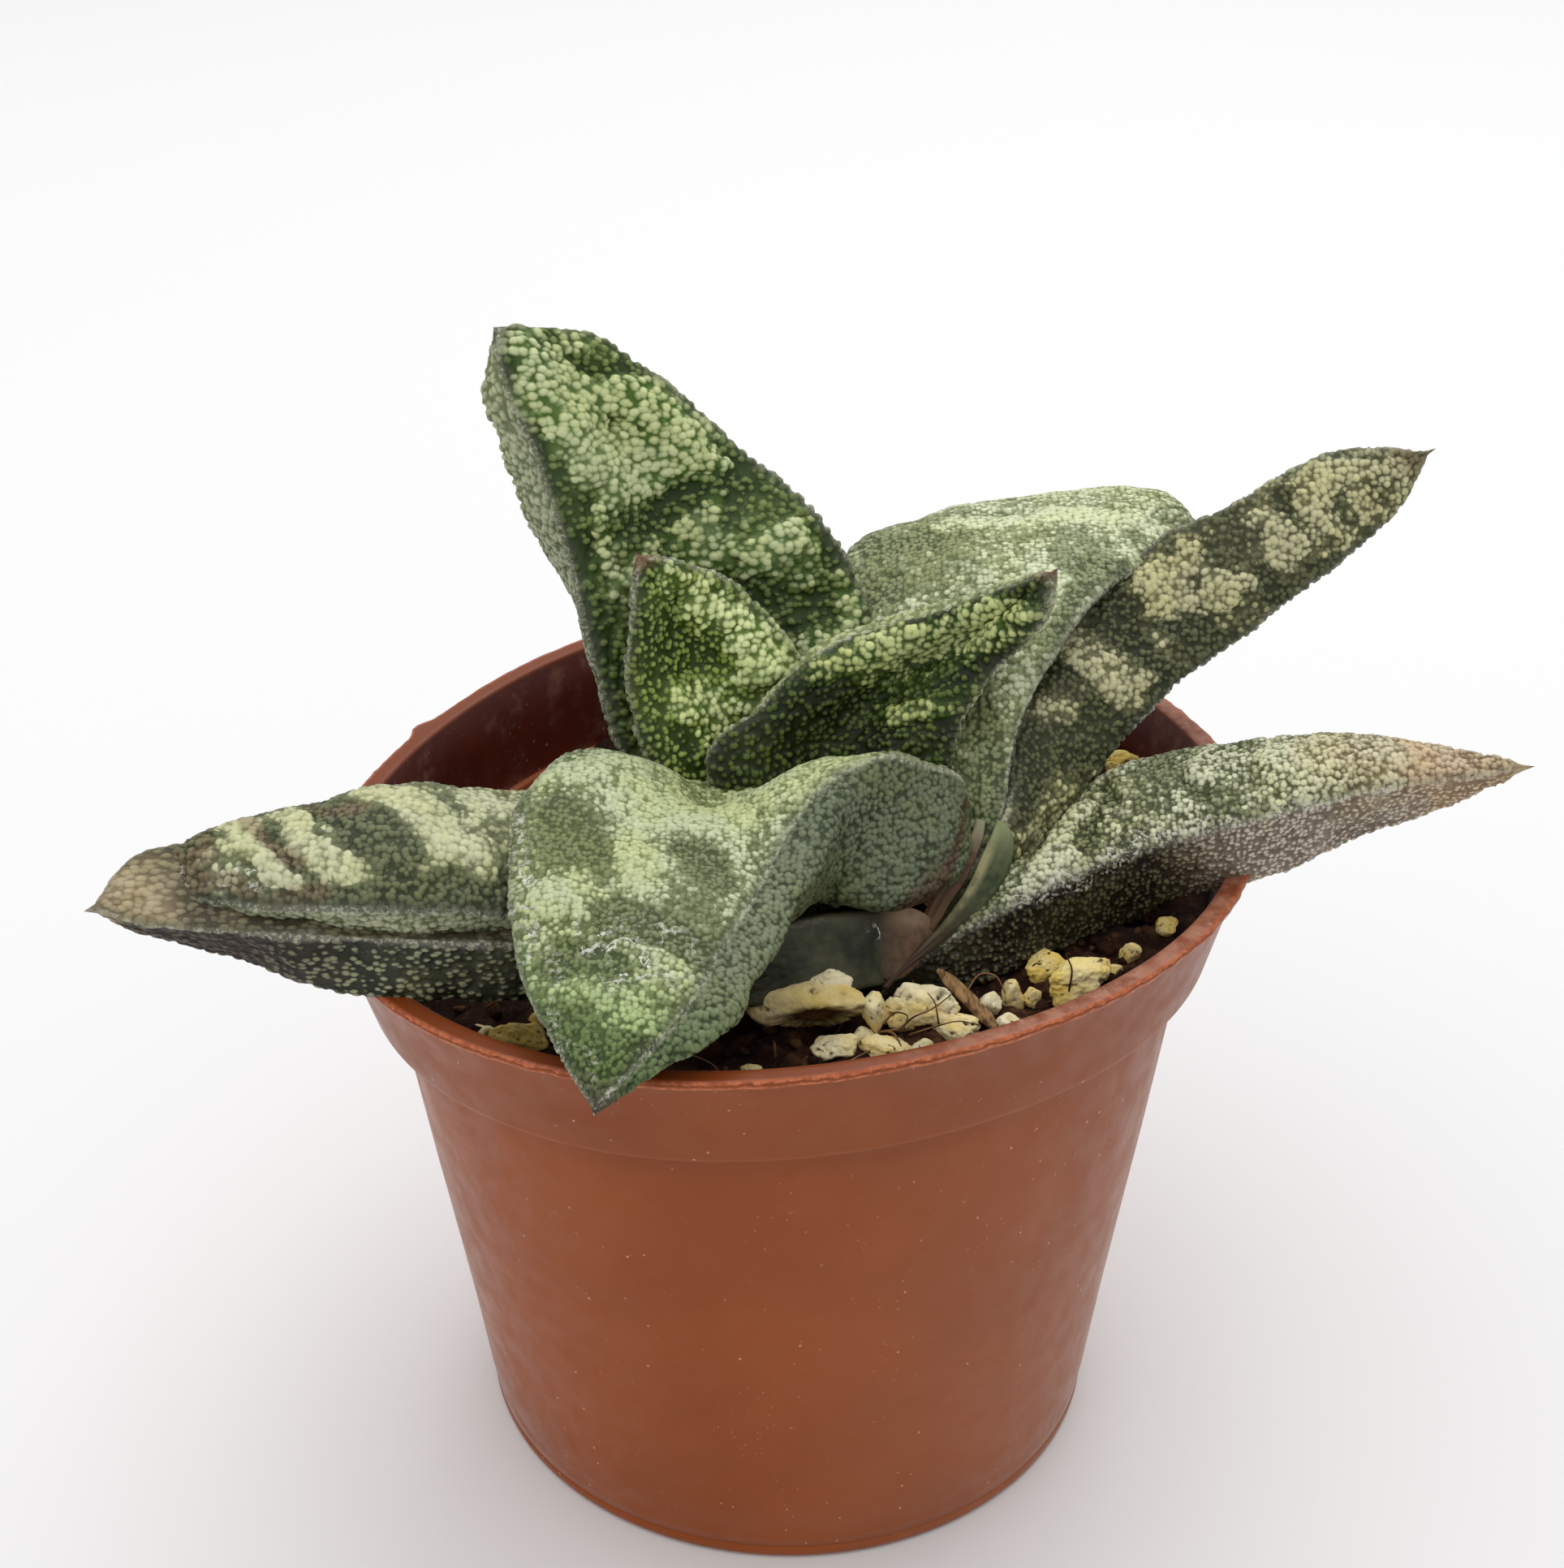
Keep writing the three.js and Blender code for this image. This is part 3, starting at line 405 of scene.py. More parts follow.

# Looks of each leaf. Display colours come in pairs, for the warts' tops and the skin between them: the pale and
# dark parts of the upper face, the underside (under) and its outer part (under_far), and dry or tan parts (warm).
# Shares of the length from base to tip: warts, where they rise from nothing; reach, where under_far takes over;
# lush, where the face turns a fuller green; tip, where warm begins. pitch is the distance between warts, height
# their height, packed how much of the pitch they fill and stretch their shape. level is how pale the face is,
# swell how far pale parts stand out, margin_shade how much painted shade darkens the margins, moss how
# yellow-green the face is in patches, plain how mottled the skin is where it has no warts, and specks how much of
# a wart is coloured on the underside. strokes add paleness, and dry, scales and frost are strokes of those:
# (length share, girth place) of both ends, radius in millimetres and amount. A girth place runs from -1 to 1
# across the upper face, from the left margin to the right, and on to 3 across the underside.
LOOKS = {
    "leaf_upright": dict(
        pitch=0.66, stretch=(0.76, 1, 1), level=0.31, pale=((208, 216, 166), (74, 104, 34)),
        dark=((120, 136, 78), (34, 54, 13)), under=((136, 146, 108), (48, 60, 30)),
        under_far=((184, 190, 158), (112, 122, 84)), warm=((140, 134, 96), (94, 94, 56)), tip=0.995,
        strokes=[(.93, -.38, .98, 0, 2.5, .4), (.89, -.82, .82, .94, 1.5, .8), (.84, -.63, .76, .85, 2, .8),
                 (.76, -.23, .71, .66, 3, .9), (.90, .02, .86, .88, .7, -.5), (.82, .14, .81, .20, 1.2, -1),
                 (.67, .63, .68, -.38, 1.5, -.9), (.63, .05, .58, .72, 2.2, .6), (.56, .42, .55, .88, 1.8, .6),
                 (.69, -.66, .63, -.69, 1.2, .6), (.52, .08, .45, .69, 1.5, -1), (.42, .48, .44, .88, 1.5, .6),
                 (.73, -.75, .48, -1, 2, -.8), (.2, 0, .36, 0, 5, -.3), (.62, .5, .60, .8, 1.3, -.8),
                 (.70, -.5, .66, -.3, 1.5, .6), (.85, 2.7, .68, 2.95, 3, .4), (.94, -.92, .72, -.95, 1, -.7),
                 (.88, .95, .5, .95, .6, -.7)], margin_shade=0.9),
    "leaf_young_left": dict(
        pitch=0.64, level=0.46, pale=((240, 250, 186), (84, 112, 30)), dark=((158, 176, 96), (40, 60, 8)),
        under=((120, 132, 90), (30, 38, 18)), warm=((170, 120, 90), (130, 74, 56)), tip=0.985,
        strokes=[(.84, .41, .66, .77, 1.7, .8), (.95, -.55, .94, .45, 1.2, .3), (.91, -.68, .74, .27, 1.1, -1),
                 (.69, -.59, .67, .05, 2.2, .3), (.65, -1, .55, -.5, 1.5, -.8), (.65, .14, .60, .59, 1, -.5),
                 (.5, -.8, .76, -.65, 2, -.7), (.95, -.95, .35, -.95, 1.3, -.8)]),
    "leaf_young_right": dict(
        pitch=0.64, level=0.33, pale=((206, 214, 148), (52, 80, 12)), dark=((94, 110, 52), (12, 26, 1)),
        under=((196, 202, 162), (122, 134, 88)), warm=((150, 84, 70), (110, 60, 48)), tip=0.985,
        strokes=[(.69, -.70, .85, -.11, 2.2, .7), (.55, .15, .57, .70, 1.2, .5), (.60, -.81, .64, -.78, 1.5, .3),
                 (.50, -.37, .50, .78, 1.5, -1), (.48, -.93, .41, -.93, 1.5, -.7), (.56, -.33, .60, -.37, 1, -.6),
                 (.65, .74, .78, .93, 1.2, -.3), (.70, -.36, .76, .39, 2.4, .8), (.2, -1, .45, -.6, 6, -1),
                 (.3, .5, .42, .9, 6, -1)]),
    "leaf_back": dict(
        pitch=0.5, height=0.24, packed=0.64, swell=0.5, level=0.5, pale=((222, 227, 190), (128, 140, 94)),
        dark=((146, 154, 112), (70, 80, 46)), under=((77, 85, 59), (26, 31, 15)),
        warm=((150, 140, 110), (110, 100, 74)), tip=0.99,
        strokes=[(.58, -.76, .61, -.32, 1.2, -.6), (.67, -.39, .85, .49, 1.5, .5), (.36, .63, .23, .83, 1.5, -1),
                 (.47, -.76, .50, -.46, 1.2, -.4), (.5, .97, .72, .95, 1.1, -.9)]),
    "leaf_upper_right": dict(
        pitch=0.57, warts=(0.1, 0.24), level=0.4, swell=0.45, packed=0.54, pale=((208, 204, 161), (104, 103, 69)),
        dark=((104, 107, 74), (40, 44, 22)), under=((130, 134, 104), (40, 40, 18)),
        warm=((140, 124, 92), (92, 76, 48)), tip=0.965,
        strokes=[(.88, -.42, .81, .29, 1.4, .9), (.45, -.7, .48, -.2, 1.5, -.5), (.92, -.03, .88, .61, 1.2, .5),
                 (.77, -.23, .76, .48, 1.5, .7), (.69, -.48, .67, .10, 1.3, .7), (.62, -.68, .62, -.16, 1.6, .8),
                 (.49, -.68, .49, .55, 1.4, 1), (.40, -.48, .40, .10, 1.5, .6), (.82, -.48, .79, .94, 1, -.8),
                 (.73, .4, .70, .85, .9, -.8), (.59, -.4, .59, .3, 1.6, .5), (.66, .0, .70, .35, 1.2, .5),
                 (.60, .10, .62, .74, 1.3, -.8), (.56, -.55, .52, .94, 1.1, -.7), (.50, .94, .29, -.81, 1.6, -1)]),
    "leaf_lower_right": dict(
        pitch=0.49, packed=0.56, warts=(0.02, 0.1), level=0.52, pale=((222, 224, 190), (92, 97, 62)),
        dark=((140, 144, 106), (42, 50, 20)), under=((108, 104, 75), (25, 19, 8)), reach=(0.42, 0.58),
        under_far=((206, 194, 176), (112, 98, 84)), warm=((214, 192, 162), (140, 116, 88)), tip=0.985,
        strokes=[(.30, .59, .36, .10, 1.6, .7), (.41, -.31, .43, .10, .8, -1), (.32, -.86, .29, .10, .9, -.6),
                 (.37, .52, .40, .24, .6, -.9), (.52, -.17, .54, .24, 1, -.5), (.57, -.17, .79, .10, 2.5, .3),
                 (.45, 1.3, .7, 1.4, 2, .4)],
        frost=[(.25, 1.02, .38, 1.02, .35, 1), (.38, 1.02, .5, 1.02, .35, 1), (.5, 1.02, .64, 1.02, .3, 1),
               (.64, 1, .8, 1, .2, 0.6)], specks=(0.5, 0.92), margin_shade=0.3,
        dry=[(.78, -.2, .92, 0, 5, .45), (.90, -1, 1, 0, 4, .9), (.90, 1, 1, 0, 4, .9),
             (.93, 1.6, .98, 2.4, 3, .7)]),
    "leaf_front": dict(
        pitch=0.48, height=0.28, packed=0.62, swell=0.5, level=0.45, warts=(-0.1, 0.02),
        pale=((200, 209, 170), (120, 132, 84)), dark=((126, 136, 96), (68, 80, 42)),
        under=((114, 124, 96), (52, 62, 39)), reach=(0.3, 0.5), under_far=((126, 135, 106), (59, 69, 42)),
        warm=((96, 80, 58), (58, 44, 32)), tip=0.975,
        dry=[(.02, 2.75, .02, 2.41, 1.0, .8), (.03, 2.21, .08, 2.06, 1.3, .9)],
        strokes=[(.56, .79, .48, .61, 1.5, .6), (.51, .19, .41, -.33, 1.8, .9), (.59, .09, .63, -.19, 1.8, .7),
                 (.72, .51, .68, .26, 2, .5), (.52, -.44, .54, -.79, 1.5, -.8), (.71, -.12, .69, -.96, 1.8, -.9),
                 (.81, .54, .79, .02, 1.5, -.6), (.84, .1, .87, -.4, 2, .3), (.96, -.44, .93, -1, 2.5, -.8),
                 (.33, -.51, .24, -.93, 1.7, .1), (.63, .40, .64, .16, 1.2, -.4), (.92, .6, .93, -.5, 4, -.5),
                 (.61, .6, .61, .2, 1.8, -.6), (.5, 2.9, .85, 2.8, 2.5, .35)],
        frost=[(.62, 1, .98, 1, .15, .45), (.86, -1, .98, -1, .15, .45)], moss=0.55,
        scales=[(.77, .1, .80, -.5, 2.5, .9), (.70, -.5, .72, -.8, 2, .7), (.6, 1, .8, 1, 1, .8)], lush=(.7, .95)),
    "leaf_left_upper": dict(
        pitch=0.58, height=0.34, packed=0.62, swell=0.3, level=0.41, pale=((206, 208, 170), (138, 142, 104)),
        dark=((112, 118, 84), (44, 52, 28)), under=((186, 190, 158), (92, 98, 62)),
        warm=((134, 108, 84), (84, 64, 48)), tip=0.99,
        strokes=[(.91, .53, .82, -.6, .7, 1), (.84, .35, .77, -.56, .7, 1), (.73, .53, .66, -.1, 1.6, .9),
                 (.66, -.1, .61, -.6, 1.6, .6), (.62, .5, .56, .1, 2, .5), (.87, .2, .80, -.6, .5, -.6),
                 (.80, .67, .69, -.2, 1.3, -.9), (.74, -.1, .70, -.78, 1.3, -.7), (.66, -.76, .59, -.66, 1.5, -.5),
                 (.99, 0, .93, .5, 1.2, -.5), (.96, -.85, .60, -.92, 1.2, -.8)], margin_shade=0.85,
        dry=[(.88, .25, .82, -.3, .5, .6), (.80, .6, .75, .3, .8, .6), (.95, .1, 1, 0, 1.6, .6),
             (.94, -.85, .8, -.9, .8, .5)], scales=[(.88, -.7, .96, -.6, 1.6, .7)]),
    "leaf_left_lower": dict(
        pitch=0.52, height=0.18, stretch=(0.62, 1, 1), warts=(0.14, 0.4), level=0.4,
        pale=((136, 128, 100), (74, 66, 46)), dark=((110, 102, 78), (54, 48, 34)),
        under=((150, 152, 120), (20, 24, 10)), reach=(0.68, 0.84), under_far=((90, 79, 62), (38, 28, 21)),
        warm=((190, 174, 142), (138, 122, 94)), tip=0.985, strokes=[(.97, .56, .90, -.26, 2, .6)],
        dry=[(.95, -.3, 1, 0, 3.5, .9), (0, 2.6, .02, 2.6, 1.5, .25)], specks=(0.45, 0.9), plain=(0.0, 0.12),
        scales=[(.12, 2.9, .14, 2.98, .8, 1)]),
}

GRID = 0.265  # distance between the points of a leaf's surface
WART_HEIGHT = 0.36
WART_SCATTER = 0.72
CHANNEL_SHARE = 0.4
FULL_EDGE_HALF_WIDTH = 3.0
MARGIN_BLUNTNESS = 0.75
FLARE_DEPTH = 0.55
TIP_SPINE = 0.6
TIP_GAP = 0.4  # between the last row of points and the end of the margins
LENGTH_STEPS, GIRTH_STEPS = 600, 90  # how finely a leaf is measured before its points are spread evenly
FEWEST_COLUMNS = 12
FIRST_LEAF_SEED, LEAF_SEED_STEP = 100, 40
SWELL, UNDERSIDE_SWELL = 0.9, 0.25


def section_height(u, v, half, at, leaf):
    """Height of the closed section above the line between the margins; u runs from -1 to 1 across."""
    fullness = np.minimum(1, half / FULL_EDGE_HALF_WIDTH)
    rim = leaf["edge"] * fullness * np.sign(v) * np.abs(v) ** MARGIN_BLUNTNESS
    upper = rim + at["dome"] * v * v - at["channel"] * fullness * np.exp(-((u / CHANNEL_SHARE) ** 2))
    keel = at["keel"]
    reach = np.where(u > keel, (u - keel) / (1 - keel), (keel - u) / (1 + keel))
    lower = rim - at["belly"] * np.maximum(0, 1 - np.hypot(reach, 0.1) ** leaf["sharp"])
    return np.where(v >= 0, upper, lower)


def even_arc(x, h, count):
    """Points at even distances along each row of a section's half."""
    out = np.zeros((2, len(x), count))
    for row in range(len(x)):
        walked = np.concatenate([[0], np.cumsum(np.hypot(np.diff(x[row]), np.diff(h[row])))])
        places = np.linspace(0, walked[-1], count + 1)[:-1]
        out[0, row] = np.interp(places, walked, x[row])
        out[1, row] = np.interp(places, walked, h[row])
    return out


def leaf_surface(leaf):
    """Grid of points on a leaf, with the distance along and round it."""
    fine = np.linspace(0, 1, LENGTH_STEPS)
    middle = (through(leaf["left"], fine) + through(leaf["right"], fine)) / 2
    walked = np.concatenate([[0], np.cumsum(np.linalg.norm(np.diff(middle, axis=0), axis=1))])
    length = walked[-1]
    rows = int(length / GRID)
    along = np.linspace(0, length - TIP_GAP, rows)
    t = np.interp(along, walked, fine)
    left, right = through(leaf["left"], t), through(leaf["right"], t)
    middle = (left + right) / 2
    across = right - left
    half = np.linalg.norm(across, axis=1, keepdims=True) / 2
    across /= 2 * half
    forward = np.gradient(middle, axis=0)
    forward /= np.linalg.norm(forward, axis=1, keepdims=True)
    up = np.cross(across, forward)
    up /= np.linalg.norm(up, axis=1, keepdims=True)
    at = {key: through(leaf.get(key, [0, 0]), t) for key in ("belly", "keel", "channel", "dome", "flare")}
    halves = []
    for start, end in ((math.pi, 0.0), (0.0, -math.pi)):
        angle = np.linspace(start, end, GIRTH_STEPS)[None, :]
        u = np.cos(angle) * np.ones_like(half)
        v = np.sin(angle) * np.ones_like(half)
        v = np.abs(v) if start > 0 else -np.abs(v) - 1e-9
        x, h = half * u, section_height(u, v, half, at, leaf)
        x = x + np.where((u < 0) & (v < 0), at["flare"] * step(-v, 0, FLARE_DEPTH) * u, 0)
        girth = np.hypot(np.diff(x, axis=1), np.diff(h, axis=1)).sum(1)
        columns = max(FEWEST_COLUMNS, int(np.percentile(girth, 85) / GRID))
        halves.append((even_arc(x, h, columns), girth))
    (upper, upper_girth), (lower, lower_girth) = halves
    x = np.hstack([upper[0], lower[0]])
    h = np.hstack([upper[1], lower[1]])
    points = middle[:, None] + across[:, None] * x[..., None] + up[:, None] * h[..., None]
    places = np.hstack([
        np.arange(upper.shape[2]) / upper.shape[2] * upper_girth[:, None],
        upper_girth[:, None] + np.arange(lower.shape[2]) / lower.shape[2] * lower_girth[:, None],
    ])
    whole = (upper_girth + lower_girth)[:, None]
    rim = np.minimum(np.minimum(places, np.abs(places - upper_girth[:, None])), whole - places)
    side = (places < upper_girth[:, None]).astype(float)
    tip = middle[-1] + forward[-1] * (TIP_GAP + TIP_SPINE)
    return dict(points=points, along=along, length=length, places=places, whole=whole, rim=rim, side=side, tip=tip,
                upper=upper_girth[:, None])


def outward_normals(points, centre):
    """Unit normals of a closed grid, away from its centre line."""
    lengthwise = np.gradient(points, axis=0)
    crosswise = np.roll(points, -1, axis=1) - np.roll(points, 1, axis=1)
    normal = np.cross(lengthwise, crosswise)
    normal /= np.linalg.norm(normal, axis=-1, keepdims=True) + 1e-12
    facing = np.sign(np.sum(normal * (points - centre[:, None]), axis=(1, 2)).sum())
    return normal * facing


def stroked(surface, strokes, seed):
    """The sum of soft, ragged strokes of a leaf's looks at each of its points."""
    along = surface["along"][:, None] + 0 * surface["places"]
    flat = np.stack([along, surface["places"]], -1)
    ragged = 0.8 * cloud(flat / 2.2, seed, 2)
    along = along + 1.1 * cloud(flat / 4.3, seed + 3, 2)
    over = surface["places"] + 1.1 * cloud(flat / 4.3, seed + 6, 2)
    total = np.zeros_like(along)
    for start_share, start_girth, end_share, end_girth, radius, amount in strokes:
        ends = []
        for share, girth in ((start_share, start_girth), (end_share, end_girth)):
            at = share * surface["length"]
            upper, whole = (np.interp(at, surface["along"], surface[key][:, 0]) for key in ("upper", "whole"))
            ends.append((at, np.interp(girth, (-1, 1, 3), (0, upper, whole))))
        (a, b), (run, rise) = ends[0], np.subtract(ends[1], ends[0])
        x, y = along - a, over - b
        f = np.clip((x * run + y * rise) / (run**2 + rise**2), 0, 1)
        distance = np.hypot(x - f * run, y - f * rise) + ragged
        total += amount * (1 - step(distance, 0.35 * radius, 1.6 * radius + 0.4))
    return total


def wart_dome(nodes, place, look, pale):
    """The height, 0 to 1, of the round wart at a place on the skin, and two random numbers of that wart."""
    pitch = look["pitch"]
    distance, lot, other = nodes.scatter(nodes.warped(place, 1.6 * pitch, 0.3 * pitch), pitch, WART_SCATTER)
    reach = nodes.plus(nodes.plus(nodes.times(lot, 0.1), look.get("packed", 0.5)), nodes.times(pale, 0.18))
    share = nodes.math("DIVIDE", distance, reach)
    rest = nodes.math("SUBTRACT", 1.0, nodes.times(share, share), clamp=True)
    return nodes.math("SQRT", rest), lot, other


def raise_warts(obj, look):
    """Lifts the warts out of a leaf's skin, where its material paints them."""
    tree = bpy.data.node_groups.new(obj.name + "_relief", "GeometryNodeTree")
    tree.interface.new_socket("Geometry", in_out="INPUT", socket_type="NodeSocketGeometry")
    tree.interface.new_socket("Geometry", in_out="OUTPUT", socket_type="NodeSocketGeometry")
    nodes = Nodes(tree)
    source, result = tree.nodes.new("NodeGroupInput"), tree.nodes.new("NodeGroupOutput")
    mover = tree.nodes.new("GeometryNodeSetPosition")
    layers = []
    for name, kind in (("skin", "FLOAT_VECTOR"), ("tone", "FLOAT_COLOR"), ("marks", "FLOAT_COLOR")):
        layer = tree.nodes.new("GeometryNodeInputNamedAttribute")
        layer.data_type = kind
        layer.inputs["Name"].default_value = name
        layers.append(layer.outputs["Attribute"])
    place, tone, marks = layers
    dome, _, _ = wart_dome(nodes, place, look, nodes.split(tone)[0])
    lift = tree.nodes.new("ShaderNodeVectorMath")
    lift.operation = "SCALE"
    tree.links.new(tree.nodes.new("GeometryNodeInputNormal").outputs[0], lift.inputs[0])
    fade = nodes.split(marks)[2]
    nodes.put(lift.inputs["Scale"], nodes.times(nodes.times(dome, fade), look.get("height", WART_HEIGHT) * MM))
    tree.links.new(source.outputs[0], mover.inputs["Geometry"])
    tree.links.new(lift.outputs[0], mover.inputs["Offset"])
    tree.links.new(mover.outputs[0], result.inputs[0])
    modifier = obj.modifiers.new("relief", "NODES")
    modifier.node_group = tree
    graph = bpy.context.evaluated_depsgraph_get()
    lifted = obj.evaluated_get(graph)
    raised = bpy.data.meshes.new_from_object(lifted, preserve_all_data_layers=True, depsgraph=graph)
    obj.modifiers.clear()
    flat, obj.data = obj.data, raised
    bpy.data.meshes.remove(flat)
    bpy.data.node_groups.remove(tree)
    raised.name = obj.name


def make_leaf(name, seed):
    """One leaf: its section, swelling and warts, with the layers that its material reads."""
    leaf, look = LEAVES[name], LOOKS[name]
    surface = leaf_surface(leaf)
    points, places = surface["points"], surface["places"]
    centre = points.mean(axis=1)
    normal = outward_normals(points, centre)
    along = surface["along"][:, None] + 0 * places
    share = along / surface["length"]
    fade = step(share, *look.get("warts", (0.06, 0.2))) * step(surface["whole"], 1.5, 5)
    swell = 0.3 * cloud(points / 5.0, seed, 2) + 0.12 * cloud(points / 2.2, seed + 5, 2)
    waved = along + 3 * cloud(np.stack([along / 11, places / 11], -1), seed + 11, 2)
    bands = cloud(np.stack([waved / 3.6, places / 11], -1), seed + 21, 2)
    pale = np.clip(look["level"] + stroked(surface, look["strokes"], seed + 31) + 0.3 * bands, 0, 1)
    side = UNDERSIDE_SWELL + (1 - UNDERSIDE_SWELL) * surface["side"]
    swell = swell + look.get("swell", SWELL) * (pale - 0.5) * step(surface["rim"], 0.5, 4) * side
    points = points + normal * (swell * fade)[..., None]
    warm = step(share, look["tip"] - 0.03, look["tip"] + 0.02) + stroked(surface, look.get("dry", []), seed + 33)
    scales = stroked(surface, look.get("scales", []), seed + 35)
    frost = np.clip(stroked(surface, look.get("frost", []), seed + 37), 0, 1)
    rows, columns = points.shape[:2]
    count = rows * columns
    everything = np.vstack([points.reshape(-1, 3), surface["tip"], centre[0]])
    layers = {
        "tone": np.stack([pale, share, np.clip(surface["rim"] / 4, 0, 1), surface["side"]], -1),
        "marks": np.stack([np.clip(warm, 0, 1), np.clip(scales, 0, 1), fade, frost], -1),
    }
    ends = {"tone": [[0.5, 1, 0, 1], [0.5, 0, 0, 1]], "marks": [[1, 0, 0, 1], [0, 0, 0, 1]]}
    layers = {key: np.vstack([values.reshape(-1, 4), ends[key]]) for key, values in layers.items()}
    faces = grid_faces(rows, columns)
    faces += fan_faces(np.arange(count - columns, count), count)
    faces += fan_faces(np.arange(columns)[::-1], count + 1)
    first, beside, above = everything[[0, 1, columns]]
    if np.dot(np.cross(beside - first, above - first), normal[0, 0]) < 0:
        faces = [tuple(reversed(face)) for face in faces]
    obj = mesh_object(name + "_skin", everything, faces, leaf_material(name, look), layers=layers)
    skin = obj.data.attributes.new("skin", "FLOAT_VECTOR", "POINT")
    skin.data.foreach_set("vector", (everything * look.get("stretch", (1, 1, 1))).astype(np.float32).ravel())
    raise_warts(obj, look)
    return carried(obj, name + "_skin", name)


def leaf_material(name, look):
    """The painted skin of a leaf, whose warts lie where raise_warts lifts them, with painted shade on the lower sides
    of the warts and near the margins.
    """
    paint = Paint(name + "_paint", roughness=0.48, Specular_IOR_Level=0.3)
    place = paint.attribute("skin")["Vector"]
    pale, along, rim, upper = paint.layer("tone")
    warm, scales, fade, frost = paint.layer("marks")
    dome, lot, other = wart_dome(paint, place, look, pale)
    # painted shade: each wart is darkened on its lower side, where the same warts moved a quarter pitch upwards stand
    # higher than the wart itself
    higher, _, _ = wart_dome(paint, paint.moved(place, (0.0, 0.0, 0.24 * look["pitch"])), look, pale)
    painted_wart_shade = paint.times(paint.math("SUBTRACT", higher, dome), fade)
    dome = paint.times(dome, fade)

    def colours(key):
        return [srgb(*colour) for colour in look[key]]

    def blended(factors, a, b):
        return [paint.mix(factor, x, y) for factor, x, y in zip(factors, a, b)]

    chosen = paint.band(paint.plus(pale, paint.times(lot, 0.5)), 0.6, 0.9)
    face = blended((chosen, pale), colours("dark"), colours("pale"))
    under = colours("under")
    if "under_far" in look:
        reach = paint.band(along, *look.get("reach", (0.35, 0.85)))
        under = blended((reach, reach), under, colours("under_far"))
    skin = blended((upper, upper), under, face)
    top, gap = blended((warm, warm), skin, colours("warm"))
    top = paint.mix(paint.times(other, 0.25), top, gap)
    mossy = paint.times(paint.band(paint.noise(7, 2), 0.42, 0.6), look.get("moss", 0.4))
    if "lush" in look:
        lush = paint.band(along, *look["lush"])
        mossy = paint.times(mossy, paint.rest(lush))
        top, gap = (paint.mix(lush, colour, (0.66, 0.8, 0.48), "MULTIPLY") for colour in (top, gap))
    top, gap = (paint.mix(mossy, colour, (1.0, 0.98, 0.68), "MULTIPLY") for colour in (top, gap))
    soft = paint.noise(5, 3)
    fine = paint.noise(0.5, 2)
    gap = paint.mix(paint.band(soft, 0.35, 0.7, 0.0, 0.2), gap, top)
    top = paint.mix(paint.band(painted_wart_shade, 0.0, 0.6, 0.0, 0.55), top, gap)
    round_top = paint.times(dome, dome)
    lit = paint.band(round_top, 0.0, 0.9)
    if "specks" in look:
        few = paint.band(round_top, *look["specks"])
        lit = paint.plus(paint.times(upper, lit), paint.times(paint.rest(upper), few))
    body = paint.mix(lit, gap, top)
    plain = paint.mix(paint.band(soft, 0.3, 0.7, *look.get("plain", (0.1, 0.45))), gap, top)
    body = paint.mix(fade, plain, body)
    crust = paint.math("ABSOLUTE", paint.math("SUBTRACT", paint.noise(2.4, 4, 0.65), 0.5))
    flakes = paint.times(paint.band(crust, 0.035, 0.012), paint.band(paint.noise(1.2, 2), 0.45, 0.6))
    body = paint.mix(paint.times(flakes, scales), body, srgb(226, 226, 216))
    away = paint.times(rim, 4.0)
    # painted shade: the skin is darkened and greyed within about two millimetres of the margins, more on the upper
    # face than underneath
    margin_shade = paint.times(paint.band(paint.plus(away, soft), 1.9, 0.9), look.get("margin_shade", 0.55))
    margin_shade = paint.times(margin_shade, paint.band(upper, 0.0, 1.0, 0.3, 1.0))
    body = paint.mix(margin_shade, body, (0.58, 0.6, 0.56), "MULTIPLY")
    body = paint.mix(paint.times(margin_shade, 0.4), body, srgb(92, 97, 76))
    teeth = paint.band(paint.noise(0.35, 2), 0.5, 0.62)
    outline = paint.times(paint.band(away, 0.5, 0.1), paint.plus(paint.times(teeth, 0.5), 0.15))
    body = paint.mix(paint.times(outline, fade), body, srgb(196, 196, 176))
    body = paint.mix(paint.times(paint.times(frost, teeth), 0.85), body, srgb(214, 210, 198))
    paint.bump(paint.plus(dome, paint.times(fine, 0.4)), 0.12, 0.7)
    return paint.done(body, paint.band(fine, 0.3, 0.7, 0.4, 0.56))


